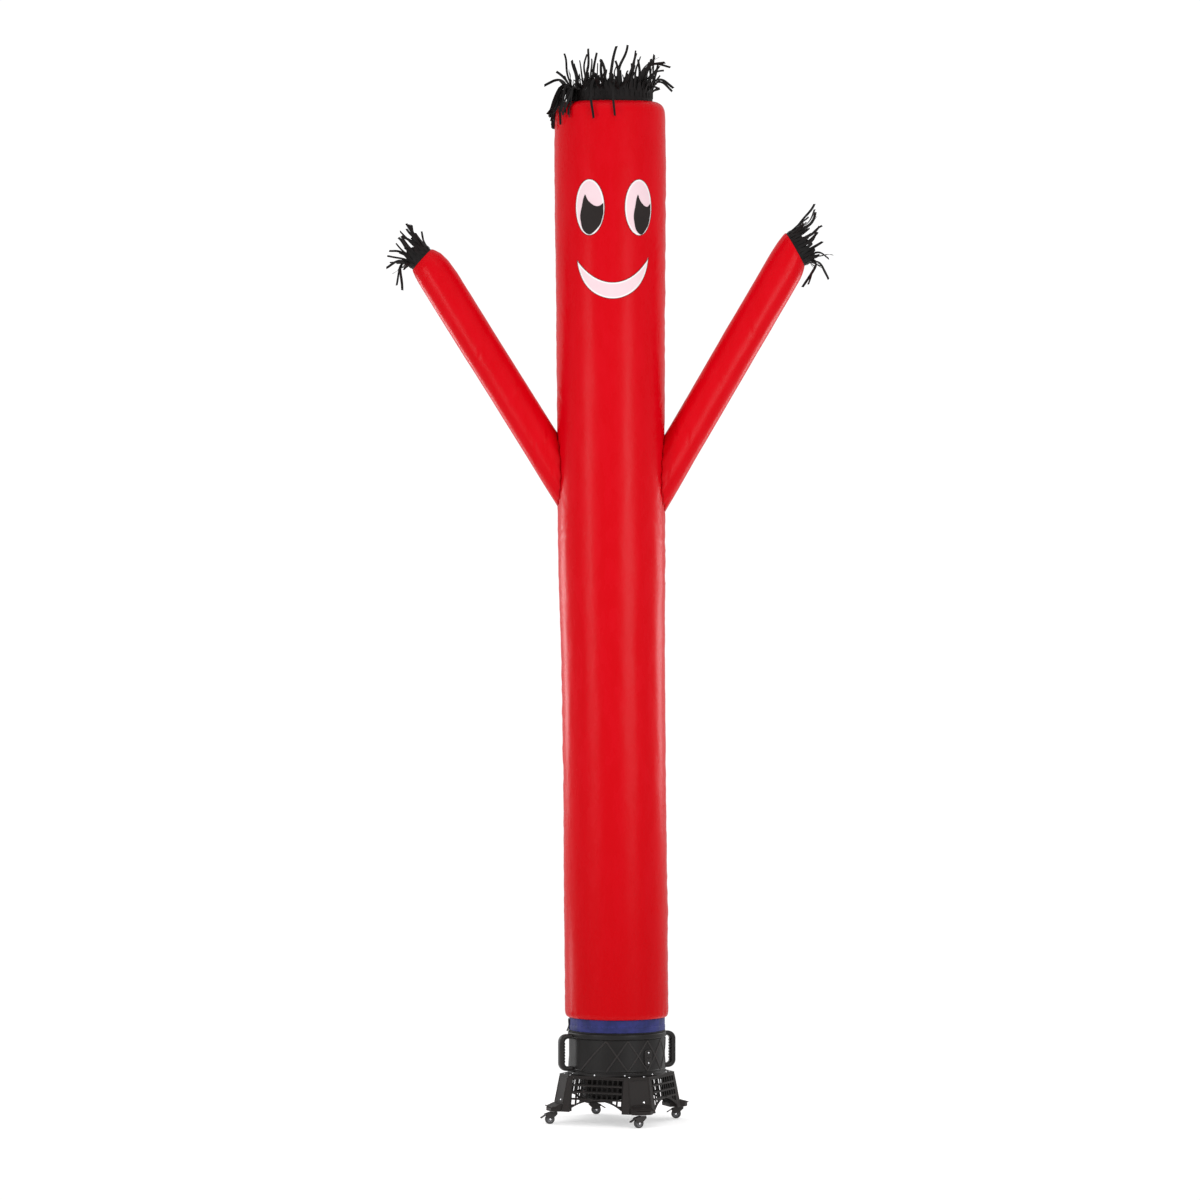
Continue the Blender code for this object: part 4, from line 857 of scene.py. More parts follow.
# %% Outlines of the face
FACE_TURN = radians(4.0)
FACE_RADIUS = 0.1565
FACE_WALL = 0.0007
EYE_Z = 2.5873
EYE_ARCS = {"left": -0.0700, "right": 0.0737}
EYE_HALF = (0.0436, 0.0793)
SMILE_MIDDLE = (-0.0014, 2.3760)
SMILE_HALF = 0.1088
SMILE_TIP_LIFT = 0.0675
SMILE_DEPTH = 0.0465
SMILE_TILT = 0.040  # its right end is higher
SMILE_FULL = 6.5  # how far out the smile keeps its depth
SMILE_ROUND = 0.625
PUPIL_HORN = (
    (-0.0284, -0.0255),
    (-0.0280, -0.0205),
    (-0.0270, -0.0140),
    (-0.0224, 0.0047),
    (-0.0188, 0.0217),
    (-0.0127, 0.0370),
)
PUPIL_BITE = (
    (-0.0127, 0.0370),
    (-0.0059, 0.0225),
    (0.0031, 0.0125),
    (0.0142, 0.0048),
    (0.0241, 0.0027),
    (0.0317, 0.0052),
    (0.0400, 0.0118),
)
PUPIL_BOTTOM = (
    (-0.0284, -0.0255),
    (-0.0281, -0.0305),
    (-0.0273, -0.0360),
    (-0.0257, -0.0450),
    (-0.0220, -0.0585),
    (-0.0156, -0.0680),
    (-0.0080, -0.0740),
    (0.0010, -0.0764),
    (0.0138, -0.0685),
    (0.0227, -0.0592),
    (0.0300, -0.0500),
    (0.0340, -0.0410),
    (0.0375, -0.0280),
    (0.0400, -0.0165),
)
PUPIL_FITS = {"left": (1.0, 0.0), "right": (0.8155, 0.0063)}  # each pupil's width and shift on its eye
EDGE_SHOWN = 0.0080  # the border's value rises to 1 this far inside the edge

print("smile", round(2 * SMILE_HALF, 3), "m wide")


# %% Curves for the face
def through(rows):
    """A smooth curve through rows of x and y whose x rises."""
    xs, ys = np.array(rows).T
    slopes = np.gradient(ys, xs)

    def curve(x):
        k = min(max(int(np.searchsorted(xs, x)) - 1, 0), len(xs) - 2)
        step = xs[k + 1] - xs[k]
        t = min(max((x - xs[k]) / step, 0.0), 1.0)
        held = (1 + 2 * t) * (1 - t) ** 2 * ys[k] + t * t * (3 - 2 * t) * ys[k + 1]
        return float(held + step * t * (1 - t) * ((1 - t) * slopes[k] - t * slopes[k + 1]))

    return curve


def eye_edge(arc):
    return EYE_HALF[1] * sqrt(max(0.0, 1 - (arc / EYE_HALF[0]) ** 2))


def smile_edge(arc, depth):
    share = abs(arc / SMILE_HALF)
    full = max(0.0, 1 - share**SMILE_FULL) ** SMILE_ROUND
    return SMILE_TIP_LIFT * share**2 + SMILE_TILT * arc - depth * full


pupil_horn, pupil_bite, pupil_bottom = map(through, (PUPIL_HORN, PUPIL_BITE, PUPIL_BOTTOM))


def pupil_top(arc):
    return (pupil_horn if arc < PUPIL_BITE[0][0] else pupil_bite)(arc)


def face_point(middle, arc, rise, lift):
    turn = -pi / 2 + FACE_TURN + (middle[0] + arc) / FACE_RADIUS
    return torso_at(turn, middle[1] + rise, lift)


def crowded(low, high, count):
    """Values from low to high that stand closer near both ends."""
    return [low + (high - low) * (1 - cos(pi * i / count)) / 2 for i in range(count + 1)]


def outline_of(ends, top, bottom, count=120):
    """The closed edge of a patch, as arc and height points, counter-clockwise from its left end."""
    arcs = crowded(*ends, count)
    edge = [(arc, bottom(arc)) for arc in arcs] + [(arc, top(arc)) for arc in reversed(arcs)]
    kept = [edge[0]]
    for point in edge[1:]:
        if dist(point, kept[-1]) > 0.0002:
            kept.append(point)
    return np.array(kept)


# %% A patch of the face
def welded(mesh, distance):
    """A mesh's bmesh, with the points closer than a distance made one."""
    bm = bmesh.new()
    bm.from_mesh(mesh)
    bmesh.ops.remove_doubles(bm, verts=bm.verts, dist=distance)
    return bm


def sew_on(name, middle, ends, top, bottom, finish, slot, layer=0, columns=64, rows=22):
    """A patch on the torso between a top and a bottom line. Gives it and its outline."""
    edge = outline_of(ends, top, bottom)
    lift = 0.0009 + layer * (FACE_WALL + 0.0004)
    spans = [(arc, crowded(bottom(arc), top(arc), rows)) for arc in crowded(*ends, columns)]
    points = []
    border = []
    for i in range(rows + 1):
        row = []
        for arc, rises in spans:
            away = np.hypot(edge[:, 0] - arc, edge[:, 1] - rises[i]).min()
            border.append(min(away / EDGE_SHOWN, 1.0))
            rolled = 0.0005 * exp(-away / 0.0012)
            row.append(tuple(face_point(middle, arc, rises[i], lift - rolled)))
        points.append(row)
    mesh = grid_mesh(points, False, None, {"edge": border})
    bm = welded(mesh, 0.00002)
    bm.to_mesh(mesh)
    bm.free()
    return wall(piece(f"{name}_cloth", mesh, finish, BODY, (name,)), FACE_WALL, 0.0, False), edge


# %% [markdown]
# Sewing thread is a row of tiny spindles. One helper lays them along any path, in dashes or zigzag, and the
# same helper sews the face, the seams and the cuff.

# %% Stitches
STITCH_SHARE = 0.62  # how much of every pitch is thread


def spindle(bm, start, end, radius, sides=5):
    """One stitch: a thread from start to end, with a point at each end."""
    way = end - start
    if way.length < 1e-6:
        return
    axes = way.to_track_quat("Z", "Y").to_matrix()
    rings = []
    for share in (0.22, 0.78):
        middle = start + share * way
        rings.append([bm.verts.new(middle + axes @ (radius * outward(turn))) for turn in ring_turns(sides)])
    skin(bm, rings, False)
    tips = [bm.verts.new(start), bm.verts.new(end)]
    for k in range(sides):
        n = (k + 1) % sides
        bm.faces.new((tips[0], rings[0][n], rings[0][k]))
        bm.faces.new((tips[1], rings[1][k], rings[1][n]))


def path_length(path):
    return sum((b - a).length for a, b in zip(path, path[1:]))


def spread(path, pitch):
    """Points at an even pitch along a polyline of vectors."""
    lengths = running([(b - a).length for a, b in zip(path, path[1:])])
    places = np.linspace(0, lengths[-1], max(2, int(lengths[-1] / pitch)) + 1)
    table = np.array([tuple(point) for point in path])
    return [Vector([float(np.interp(at, lengths, table[:, k])) for k in range(3)]) for at in places]


def stitch_row(name, paths, pitch, radius, finish):
    """Dashes along each path."""
    bm = bmesh.new()
    for path in paths:
        spots = spread(path, pitch)
        for a, b in zip(spots, spots[1:]):
            spindle(bm, a, a + (b - a) * STITCH_SHARE, radius)
    return piece(name, bm, finish)


def zigzag(name, edges, pitch, radius, finish):
    """Thread that swings between the outer and the inner path of each edge."""
    bm = bmesh.new()
    for far, near in edges:
        count = max(2, int(path_length(far) / pitch)) + 0.5
        outs, ins = (spread(path, path_length(path) / count) for path in (far, near))
        for a, b, c in zip(outs, ins, outs[1:]):
            spindle(bm, a, b, radius, 4)
            spindle(bm, b, c, radius, 4)
    return piece(name, bm, finish)


def face_path(middle, edge, inset, lift):
    """The edge of a patch, drawn in by an inset, as points on the torso."""
    ahead = np.roll(edge, -1, axis=0) - np.roll(edge, 1, axis=0)
    ahead /= np.maximum(np.linalg.norm(ahead, axis=1)[:, None], 1e-9)
    moved = edge + inset * np.stack((-ahead[:, 1], ahead[:, 0]), axis=1)
    return [face_point(middle, float(arc), float(rise), lift) for arc, rise in [*moved, moved[0]]]


def edge_paths(middle, edge):
    """The two paths that the zigzag swings between: beside the patch and on it."""
    return face_path(middle, edge, -0.0006, 0.0014), face_path(middle, edge, 0.0012, 0.0019)


# %% Sew the face on
face_pieces = []
edges = []
for side, arc in EYE_ARCS.items():
    middle = (arc, EYE_Z)
    ends = (-EYE_HALF[0], EYE_HALF[0])
    white, edge = sew_on(
        f"eye_white_{side}", middle, ends, eye_edge, lambda arc: -eye_edge(arc), FACE_NYLON, "white_nylon"
    )
    edges.append(edge_paths(middle, edge))
    scale, shift = PUPIL_FITS[side]
    ends = [scale * PUPIL_BOTTOM[k][0] + shift for k in (0, -1)]
    top, bottom = (lambda arc, line=line: line((arc - shift) / scale) for line in (pupil_top, pupil_bottom))
    finer = {"layer": 1, "columns": 96, "rows": 24}
    pupil, _ = sew_on(
        f"eye_pupil_{side}", middle, ends, top, bottom, PUPIL_NYLON, "black_nylon", **finer
    )
    face_pieces += [white, pupil]
top, bottom = (lambda arc, depth=depth: smile_edge(arc, depth) for depth in (0.0, SMILE_DEPTH))
ends = (-SMILE_HALF, SMILE_HALF)
smile, edge = sew_on(
    "smile", SMILE_MIDDLE, ends, top, bottom, FACE_NYLON, "white_nylon", columns=110, rows=16
)
edges.append(edge_paths(SMILE_MIDDLE, edge))
face_thread = zigzag("face_edge_thread", edges, 0.0013, 0.00034, BROWN_THREAD)
face_pieces += [smile, face_thread]
print("face", len(face_pieces), "pieces")

# %% Thread on the seams
SEAM_PITCH = 0.0055
SEAM_THREAD = 0.00032
SEAM_LIFT = 0.0002
SEAM_GAP = 0.0030  # each side seam has two rows, this far to either side
SEAM_ENDS = (0.322, 2.858)
ROOT_ROW = 0.0045  # from the torso's wall to the stitches round an arm's root


def upright_row(turn, low, high):
    steps = int((high - low) / 0.008)
    return [torso_at(turn, low + (high - low) * i / steps, SEAM_LIFT) for i in range(steps + 1)]


def arm_path(side, starts, away):
    """A path round the arm's root, this far out from the torso."""
    path = []
    for turn, start in zip(ring_turns(ARM_COLUMNS), starts):
        step = away / arm_line(side)[1]
        centre, normal, radius = arm_ring(side, start + step)
        reach = radius + arm_height(side, step, turn, radius) + SEAM_LIFT
        path.append(AXIS + ring_point(centre, normal, reach, turn))
    return path + path[:1]


seam_turns = [turn + step / TORSO_MEAN for turn in (0.0, pi) for step in (-SEAM_GAP, SEAM_GAP)]
seam_rows = [upright_row(turn, *SEAM_ENDS) for turn in seam_turns]
side_thread = stitch_row("side_seam_thread", seam_rows, SEAM_PITCH, SEAM_THREAD, RED_THREAD)
root_rows = [arm_path(side, arm_starts[side], ROOT_ROW) for side in ARM_ROOTS]
root_thread = stitch_row("arm_root_thread", root_rows, SEAM_PITCH, SEAM_THREAD, RED_THREAD)
print("seam threads", len(side_thread.data.polygons) + len(root_thread.data.polygons), "faces")

# %% [markdown]
# ## The fringe
# Hair and fingers are one trick: a band of black nylon whose upper edge is slit into strips. Air from inside
# keeps them in the wind. Each strip is swept along a path that leaves the band upright and turns over
# towards its own side, with some sway and twist, and tapers to a slanted snip.

# %% Locks and loose strips
HAIR_BAND = (0.1222, 0.030)  # radius, height
HAIR_SLOTS = 48
HAIR_WIDTH = 0.0095
HAIR_SEED = 115
HAIR_TANGLE = range(34, 42)
HAIR_OVERHANG = 0.0365  # how far the tube's shoulder stands out past the band
HAND_BAND_HEIGHT = 0.015
HAND_SLOTS = 16
HAND_WIDTH = 0.0090
HAND_SEEDS = {"left": 5, "right": 8}
STRIP = 0.0009  # thickness of a strip's cloth
LONG_BEND = 1.9  # radians from which a strip hangs down and doesn't curl
HAIR_LOCKS = {
    # slot round the ring (0 at the front, rising towards +X): length, bend, heading, settle
    46: (0.164, 173, 0, 0.46),
    1: (0.154, 172, -8, 0.47),
    42: (0.134, 170, 4, 0.38),
    40: (0.150, 172, 6, 0.33),
    38: (0.166, 172, -4, 0.32),
    37: (0.134, 166, -5, 0.34),
    36: (0.156, 172, 4, 0.32),
    39: (0.118, 156, 3, 0.40),
    34: (0.116, 154, -6, 0.42),
    35: (0.096, 118, 0, 0.80),
    33: (0.080, 66, 4, 1.00),
    32: (0.122, 30, -8, 1.00),
    41: (0.088, 20, 0, 1.00),
    43: (0.118, 16, 80, 1.00),
    45: (0.108, 14, 75, 1.00),
    0: (0.124, 18, 85, 1.00),
    2: (0.132, 20, 80, 1.00),
    4: (0.112, 12, 60, 1.00),
    6: (0.120, 66, 20, 1.00),
    7: (0.126, 84, 8, 1.00),
    8: (0.142, 104, -4, 1.00),
    9: (0.088, 74, 0, 0.90),
    10: (0.098, 128, -4, 0.75),
    12: (0.088, 134, 4, 0.75),
}
HAND_LOCKS = {
    "left": {
        2: (0.076, 18, 0, 1.0),
        3: (0.088, 16, 0, 1.0),
        4: (0.046, 52, 0, 1.0),
        5: (0.084, 22, 0, 1.0),
        9: (0.086, 96, 10, 0.5),
        10: (0.082, 50, 4, 0.8),
        11: (0.104, 134, 4, 0.42),
        12: (0.076, 66, 0, 0.6),
        13: (0.094, 122, -6, 0.45),
        14: (0.080, 40, 0, 1.0),
    },
    "right": {
        2: (0.082, 54, 0, 0.8),
        3: (0.100, 140, -4, 0.42),
        4: (0.088, 96, 0, 0.6),
        5: (0.108, 148, 6, 0.40),
        6: (0.086, 62, 0, 0.8),
        7: (0.092, 120, 8, 0.45),
        10: (0.088, 26, 0, 1.0),
        11: (0.100, 35, 0, 1.0),
        12: (0.106, 38, 0, 1.0),
        13: (0.100, 33, 0, 1.0),
        14: (0.086, 24, 0, 1.0),
    },
}
HAIR_BETWEEN = (
    # strips between the named ones: step towards the next slot, inset, then the least and the most
    # share of the slot's length and of the width
    (0.50, -0.0010, 0.26, 0.46, 0.90, 1.15),
    (0.70, 0.0012, 0.42, 0.78, 0.40, 0.75),
    (0.25, 0.0030, 0.34, 0.66, 0.35, 0.70),
    (0.85, 0.0030, 0.30, 0.60, 0.45, 0.90),
    (0.05, 0.0048, 0.25, 0.50, 0.60, 1.00),
)
HAND_BETWEEN = (
    (0.50, -0.0008, 0.40, 0.70, 0.90, 1.15),
    (0.25, 0.0025, 0.30, 0.60, 0.80, 1.05),
    (0.78, 0.0025, 0.24, 0.44, 0.80, 1.05),
)

print(len(HAIR_LOCKS), "locks in", HAIR_SLOTS, "slots")


# %% A strip
def strips_for(slots, locks, seed, lengths, bends, headings):
    """One row for each slot: the named locks, and loose ones between them drawn within these ranges."""
    rng = random.Random(seed)
    strips = []
    for slot in range(slots):
        loose = (rng.uniform(*lengths), rng.uniform(*bends), rng.uniform(-headings, headings), 1.0)
        twist = rng.uniform(-0.5, 0.5)
        sway = rng.uniform(-0.22, 0.22)
        length, bend, heading, settle = locks.get(slot, loose)
        strips.append((length, radians(bend), radians(heading), settle, twist, sway))
    return strips


def strip_frames(root, length, bend, heading, settle, twist, sway, waves, curl, steps=16):
    """Frames along a strip that leaves its root along Z, turns over to its heading and waves on its way."""
    axes = root.to_3x3()
    out = axes @ Vector((sin(heading), -cos(heading), 0.0))
    hinge = axes.col[2].cross(out)

    def aim(share):
        wave = sin(tau * waves * share)
        over = Matrix.Rotation(bend * ease(share / settle) + curl * wave, 3, hinge)
        return over @ Matrix.Rotation(sway * wave, 3, out) @ axes

    point = root.translation.copy()
    frames = [root]
    for i in range(1, steps + 1):
        point = point + aim((i - 0.5) / steps).col[2] * (length / steps)
        around = aim(i / steps) @ Matrix.Rotation(twist * i / steps, 3, "Z")
        frames.append(Matrix.Translation(point) @ around.to_4x4())
    return frames


def lay_over(frames, radius, overhang):
    """Frames that would run into the shoulder below the band are moved out to lie on it."""
    for at in frames:
        x, y, z = at.translation
        depth = min(max(-z / SHOULDER, 0.0), 1.0)
        if z < 0.004:
            reach = radius + 0.0045 + overhang * sqrt(1.0 - (1.0 - depth) ** 2)
            ratio = max(reach / hypot(x, y), 1.0)
            at.translation = (x * ratio, y * ratio, z)
    return frames


def ribbon(bm, frames, width, snip, cup):
    """A cut strip of cloth through the frames, tapering to a slanted end."""
    rings = []
    for i, at in enumerate(frames):
        share = i / (len(frames) - 1)
        half = width / 2 * (1.0 - 0.22 * share**2)
        arch = cup * sin(pi * min(share * 1.5, 1.0))
        slant = snip * half if share == 1 else 0.0
        ring = []
        for x, y in ((-1, -1), (0, -1), (1, -1), (1, 1), (0, 1), (-1, 1)):
            lift = 0.0 if x else arch
            ring.append(bm.verts.new(at @ Vector((x * half, y * STRIP / 2 - lift, slant * x))))
        rings.append(ring)
    uv = bm.loops.layers.uv["cloth"]
    for face in skin(bm, rings):
        for loop in face.loops:
            at = loop.vert.co
            loop[uv].uv = (at.x + at.y, at.z)


# %% Sew the fringes
def band(radius, height, slots, seed, ruffle):
    """The band that the strips grow from, with a soft ruffle at its upper edge."""
    steps = [i / 4 for i in range(5)]
    section = [(0, z) for z in steps] + [(-1, z) for z in reversed(steps)] + [(0, 0)]
    rows = []
    for inner, z in section:
        row = []
        for turn in ring_turns(6 * slots):
            fold = sin(slots * 0.75 * turn + 2 * waver(3 * cos(turn), 3 * sin(turn), seed))
            reach = radius - 0.0004 + inner * 0.6 * BAND + ruffle * fold * z
            row.append((reach * cos(turn), reach * sin(turn), height * z))
        rows.append(row)
    return welded(grid_mesh(rows), 0.00001)


def fringe(radius, height, strips, width, between, seed, ruffle, wild, tangle=(), overhang=0.0):
    """The band, its named strips and thinner ones between them, more of which hang in a tangle's slots."""
    rng = random.Random(seed)
    slots = len(strips)
    bm = band(radius, height, slots, seed, ruffle)

    def root_at(place, inset, low):
        radial = outward(tau * place / slots - pi / 2)
        tangent = Vector((-radial.y, radial.x, 0.0))
        axes = Matrix((tangent, -radial, Vector((0, 0, 1)))).transposed().to_4x4()
        return Matrix.Translation((radius - BAND / 2 - inset) * radial + Vector((0, 0, low))) @ axes

    for slot, (length, bend, heading, settle, twist, sway) in enumerate(strips):
        root = root_at(slot, 0.0, height)
        sideways = abs(sin(tau * slot / slots)) ** 3
        rolled = twist + copysign(1.3 * sideways, twist)
        curl = 0.0 if bend > LONG_BEND else rng.uniform(-0.28, 0.28)
        waves = rng.uniform(0.7, 1.2)
        frames = strip_frames(root, length, bend, heading, settle, rolled, 1.3 * sway, waves, curl)
        inward, up = root.to_3x3().col[1], root.to_3x3().col[2]
        sewn = []
        for drop in (0.62, 0.06):
            sewn.append(Matrix.Translation(-(BAND / 2 + 0.0008) * inward - drop * height * up) @ root)
        frames = sewn + lay_over(frames[1:], radius, overhang)
        cut = width * rng.uniform(0.72, 1.0)
        ribbon(bm, frames, cut, rng.uniform(-0.6, 0.6), rng.uniform(-0.0012, 0.0016))
        for step, inset, low, high, thin, wide in between:
            form = {
                "length": min(length, 0.12) * rng.uniform(low, high),
                "bend": min(bend, LONG_BEND) * rng.uniform(0.3, 0.8),
                "heading": heading + wild * rng.uniform(-0.9, 0.9),
                "settle": settle,
                "twist": wild * rng.uniform(-1.1, 1.1),
                "sway": wild * rng.uniform(-0.55, 0.55),
                "waves": rng.uniform(0.6, 1.4),
                "curl": wild * rng.uniform(-0.45, 0.45),
                "steps": 12,
            }
            if slot in tangle and inset < 0.0040:
                form |= {
                    "length": rng.uniform(0.070, 0.130),
                    "bend": rng.uniform(2.5, 2.95),
                    "heading": rng.uniform(-0.5, 0.5),
                    "settle": rng.uniform(0.24, 0.40),
                    "sway": rng.uniform(-0.45, 0.45),
                    "waves": rng.uniform(0.6, 1.2),
                    "curl": rng.uniform(-0.25, 0.25),
                    "steps": 16,
                }
            frames = strip_frames(root_at(slot + step, inset, height - 0.006), **form)
            cut = width * rng.uniform(thin, wide)
            ribbon(bm, lay_over(frames, radius, overhang), cut, rng.uniform(-0.6, 0.6), 0.0008)
    return bm


def make_fringe(bm, place, stands_for):
    bm.transform(Matrix.Translation(AXIS) @ place)
    return piece(f"{stands_for}_strips", bm, BLACK_NYLON, BODY, (stands_for,), 50)


strips = strips_for(HAIR_SLOTS, HAIR_LOCKS, HAIR_SEED, (0.074, 0.118), (6, 40), 60)
wild = {"seed": 5, "ruffle": 0.0011, "wild": 1.0, "tangle": HAIR_TANGLE, "overhang": HAIR_OVERHANG}
hair = fringe(*HAIR_BAND, strips, HAIR_WIDTH, HAIR_BETWEEN, **wild)
hair = make_fringe(hair, Matrix.Translation((TORSO_SECTIONS[-1][1], 0.0, CROWN_Z + GAP)), "hair_fringe")
for side, seed in HAND_SEEDS.items():
    centre, normal, radius = arm_ring(side, 1.0)
    axes = Matrix((across_of(normal), Vector((0, 1, 0)), normal)).transposed().to_4x4()
    place = Matrix.Translation(centre) @ axes @ Matrix.Translation((0, 0, HAND_LIP + GAP))
    strips = strips_for(HAND_SLOTS, HAND_LOCKS[side], seed, (0.064, 0.086), (12, 50), 40)
    band_size = (radius - BAND / 2, HAND_BAND_HEIGHT)
    calm = {"seed": 11 + len(side), "ruffle": 0.0006, "wild": 0.4}
    hand = fringe(*band_size, strips, HAND_WIDTH, HAND_BETWEEN, **calm)
    make_fringe(hand, place, f"hand_fringe_{side}")
print("fringe", len(hair.data.polygons), "faces on the head")

# %% [markdown]
# ## The cuff
# A drawstring cuff grips the blower's neck. The blue cloth is gathered into it, so it has small upright
# puckers, a row of stitches where the hem is turned up, and a black roll at its lower edge. A tab of webbing
# closes it at the side.

# %% Sizes of the cuff
CUFF_LOW = 0.2610
CUFF_HIGH = 0.2975
CUFF_RADIUS = 0.1356
CUFF_FOLD = 0.2772  # height of the row of stitches
CUFF_COLUMNS = 264
HEM_RADIUS = 0.1372
HEM_LOW = 0.2566
HEM_HIGH = 0.2607
TAB_TURN = radians(187)
TAB_WIDTH = 0.020
TAB_HIGH = 0.2926

print("cuff", round(CUFF_HIGH - CUFF_LOW, 4), "m high")


# %% Gather the cuff
def cuff_reach(turn, z):
    """Radius of the cuff's cloth: two soft swells with a stitched valley between, and puckers."""
    x, y = cos(turn), sin(turn)
    low = (z - CUFF_LOW) / (CUFF_FOLD - CUFF_LOW)
    high = (z - CUFF_FOLD) / (CUFF_HIGH - CUFF_FOLD)
    swell = 0.0013 * sin(pi * low) if low < 1 else 0.0005 * sin(pi * high)
    gather = waver(9 * x, 9 * y, 1.5) + 0.6 * sin(44 * turn + 4 * waver(2 * x, 2 * y, 3.0))
    top = bell(z - CUFF_HIGH, 0.008)
    near_edge = max(top, 0.8 * bell(z - CUFF_FOLD, 0.006), 0.8 * bell(z - CUFF_LOW, 0.005))
    sag = 0.0007 * waver(4 * x, 4 * y, 60 * z)
    stitched = 0.0008 * bell(z - CUFF_FOLD, 0.0014)
    return CUFF_RADIUS + swell - stitched + 0.0007 * gather * near_edge + sag


def cuff_ring(z, lift=0.0):
    """Points round the cuff's cloth at a height."""
    points = []
    for turn in ring_turns(CUFF_COLUMNS):
        points.append(AXIS + (cuff_reach(turn, z) + lift) * outward(turn) + Vector((0.0, 0.0, z)))
    return points


mesh = grid_mesh([[tuple(point) for point in cuff_ring(z)] for z in np.linspace(CUFF_LOW, CUFF_HIGH, 27)])
cuff = wall(piece("cuff_band_cloth", mesh, BLUE_NYLON, BODY, ("cuff_band",)), NYLON)
cuff_rows = [cuff_ring(z, 0.0002) for z in (CUFF_FOLD - 0.0008, CUFF_FOLD + 0.0022, CUFF_LOW + 0.0020)]
cuff_rows = [row + row[:1] for row in cuff_rows]
cuff_thread = stitch_row("cuff_thread", cuff_rows, 0.0042, 0.00034, BLUE_THREAD)


# %% Hem and tab
def make_hem():
    """A rolled hem: a fat round edge, slightly twisted, that hides the drawstring."""
    rows = []
    for roll in ring_turns(14):
        row = []
        for turn in ring_turns(180):
            fat = 1.0 + 0.10 * waver(22 * cos(turn), 22 * sin(turn), 2.0)
            out = HEM_RADIUS - 0.0020 + 0.0022 * fat * cos(roll)
            z = (HEM_LOW + HEM_HIGH) / 2 + 0.0020 * fat * sin(roll)
            row.append((AXIS_X + out * cos(turn), out * sin(turn), z))
        rows.append(row)
    rows = [rows[0], *reversed(rows)]
    return piece("cuff_hem_roll", grid_mesh(rows), WEBBING, BODY, ("cuff_hem",))


def make_tab():
    """The closing tab: a strap sewn on at its top, whose free end curls away from the cuff."""
    radial = outward(TAB_TURN)
    tangent = Vector((-radial.y, radial.x, 0.0))
    rows = []
    for i in reversed(range(27)):
        share = i / 26
        z = TAB_HIGH - (TAB_HIGH - HEM_LOW - 0.0012) * share
        curl = 0.0052 * max(share - 0.45, 0.0) ** 2 / 0.30
        out = HEM_RADIUS + 0.0014 + curl + 0.0004 * sin(9 * share)
        half = TAB_WIDTH / 2 * (1.0 - 0.25 * max(0.0, (share - 0.93) / 0.07) ** 2)
        row = []
        for side in (-1.0, -0.75, -0.5, -0.25, 0.0, 0.25, 0.5, 0.75, 1.0):
            spot = (out - 0.0016 * side**2) * radial + side * half * tangent
            row.append((spot.x + AXIS_X, spot.y, z))
        rows.append(row)
    tab = piece("closure_tab_strap", grid_mesh(rows, False), WEBBING, BODY, ("closure_tab",))
    return wall(tab, 0.0018, 0.0)


hem = make_hem()
tab = make_tab()
print("cuff", len(cuff.data.polygons), "quads and", len(cuff_thread.data.polygons), "in its thread")

# %% [markdown]
# ## The blower's drum
# The drum is one moulding: a thin wall with a rolled lip, a bead under it and a flange that screws down to
# the base. Crossed ribs stiffen it, and its corners are rounded because plastic won't fill a sharp edge.

# %% The drum's outline
DRUM_RADIUS = 0.1365
DRUM_PROFILE = (
    # radius, height and the corner's own rounding
    (0.1328, 0.2970, 0.0008),
    (0.1328, 0.2563, 0.0010),
    (0.1392, 0.2563, 0.0030),
    (0.1397, 0.2432, 0.0028),
    (0.1366, 0.2420, 0.0010),
    (0.1352, 0.2412, 0.0006),
    (0.1352, 0.2402, 0.0006),
    (0.1365, 0.2392, 0.0008),
    (0.1365, 0.1545, 0.0010),
    (0.1378, 0.1528, 0.0010),
    (0.1378, 0.1512, 0.0010),
    (0.1365, 0.1496, 0.0010),
    (0.1370, 0.1470, 0.0012),
    (0.1404, 0.1460, 0.0014),
    (0.1404, 0.1385, 0.0008),
    (0.1335, 0.1385, 0.0008),
    (0.1335, 0.2430, 0.0010),
    (0.1298, 0.2563, 0.0020),
    (0.1298, 0.2970, 0.0008),
)
print(len(DRUM_PROFILE), "corners in the drum's outline")


# %% Lathe the drum
def rounded(corners, steps):
    """A closed outline of (x, y, rounding) corners, each turned into a small arc."""
    path = []
    for i, (x, y, own) in enumerate(corners):
        here = Vector((x, y))
        back = Vector(corners[i - 1][:2]) - here
        ahead = Vector(corners[(i + 1) % len(corners)][:2]) - here
        reach = min(own, back.length * 0.45, ahead.length * 0.45)
        start = here + back.normalized() * reach
        end = here + ahead.normalized() * reach
        for k in range(steps + 1):
            t = k / steps
            path.append((1 - t) ** 2 * start + 2 * t * (1 - t) * here + t**2 * end)
    return path


def turned(bm, profile, sides, place, steps=3):
    """Turns a closed outline of (radius, height, rounding) corners round the upright axis of a place."""
    outline = rounded(profile, steps)
    rows = []
    for radius, z in outline + outline[:1]:
        rows.append([(radius * cos(turn), radius * sin(turn), z) for turn in ring_turns(sides)])
    mesh = grid_mesh(rows)
    mesh.transform(place)
    bm.from_mesh(mesh)


bm = bmesh.new()
turned(bm, DRUM_PROFILE, 144, Matrix.Translation(AXIS), 4)
drum = piece("drum_moulding", bm, PLASTIC, BODY, ("drum",))
print("drum", len(drum.data.polygons), "quads")

# %% [markdown]
# A rib is the same little trapezium carried along a line on the drum's wall. The ribs start at peaks one
# pitch apart and fall to both sides, so they cross halfway down and leave a row of diamonds.

# %% Ribs
RIB_TOP = 0.2385
RIB_FOOT = 0.1525
RIB_PEAK = -13.0  # degrees from the front, rising towards +X
RIB_PITCH = 25.7


def mirrored(*left):
    """A section of (across, out) points: its left half and the same half mirrored."""
    return left + tuple((-x, y) for x, y in reversed(left) if x)


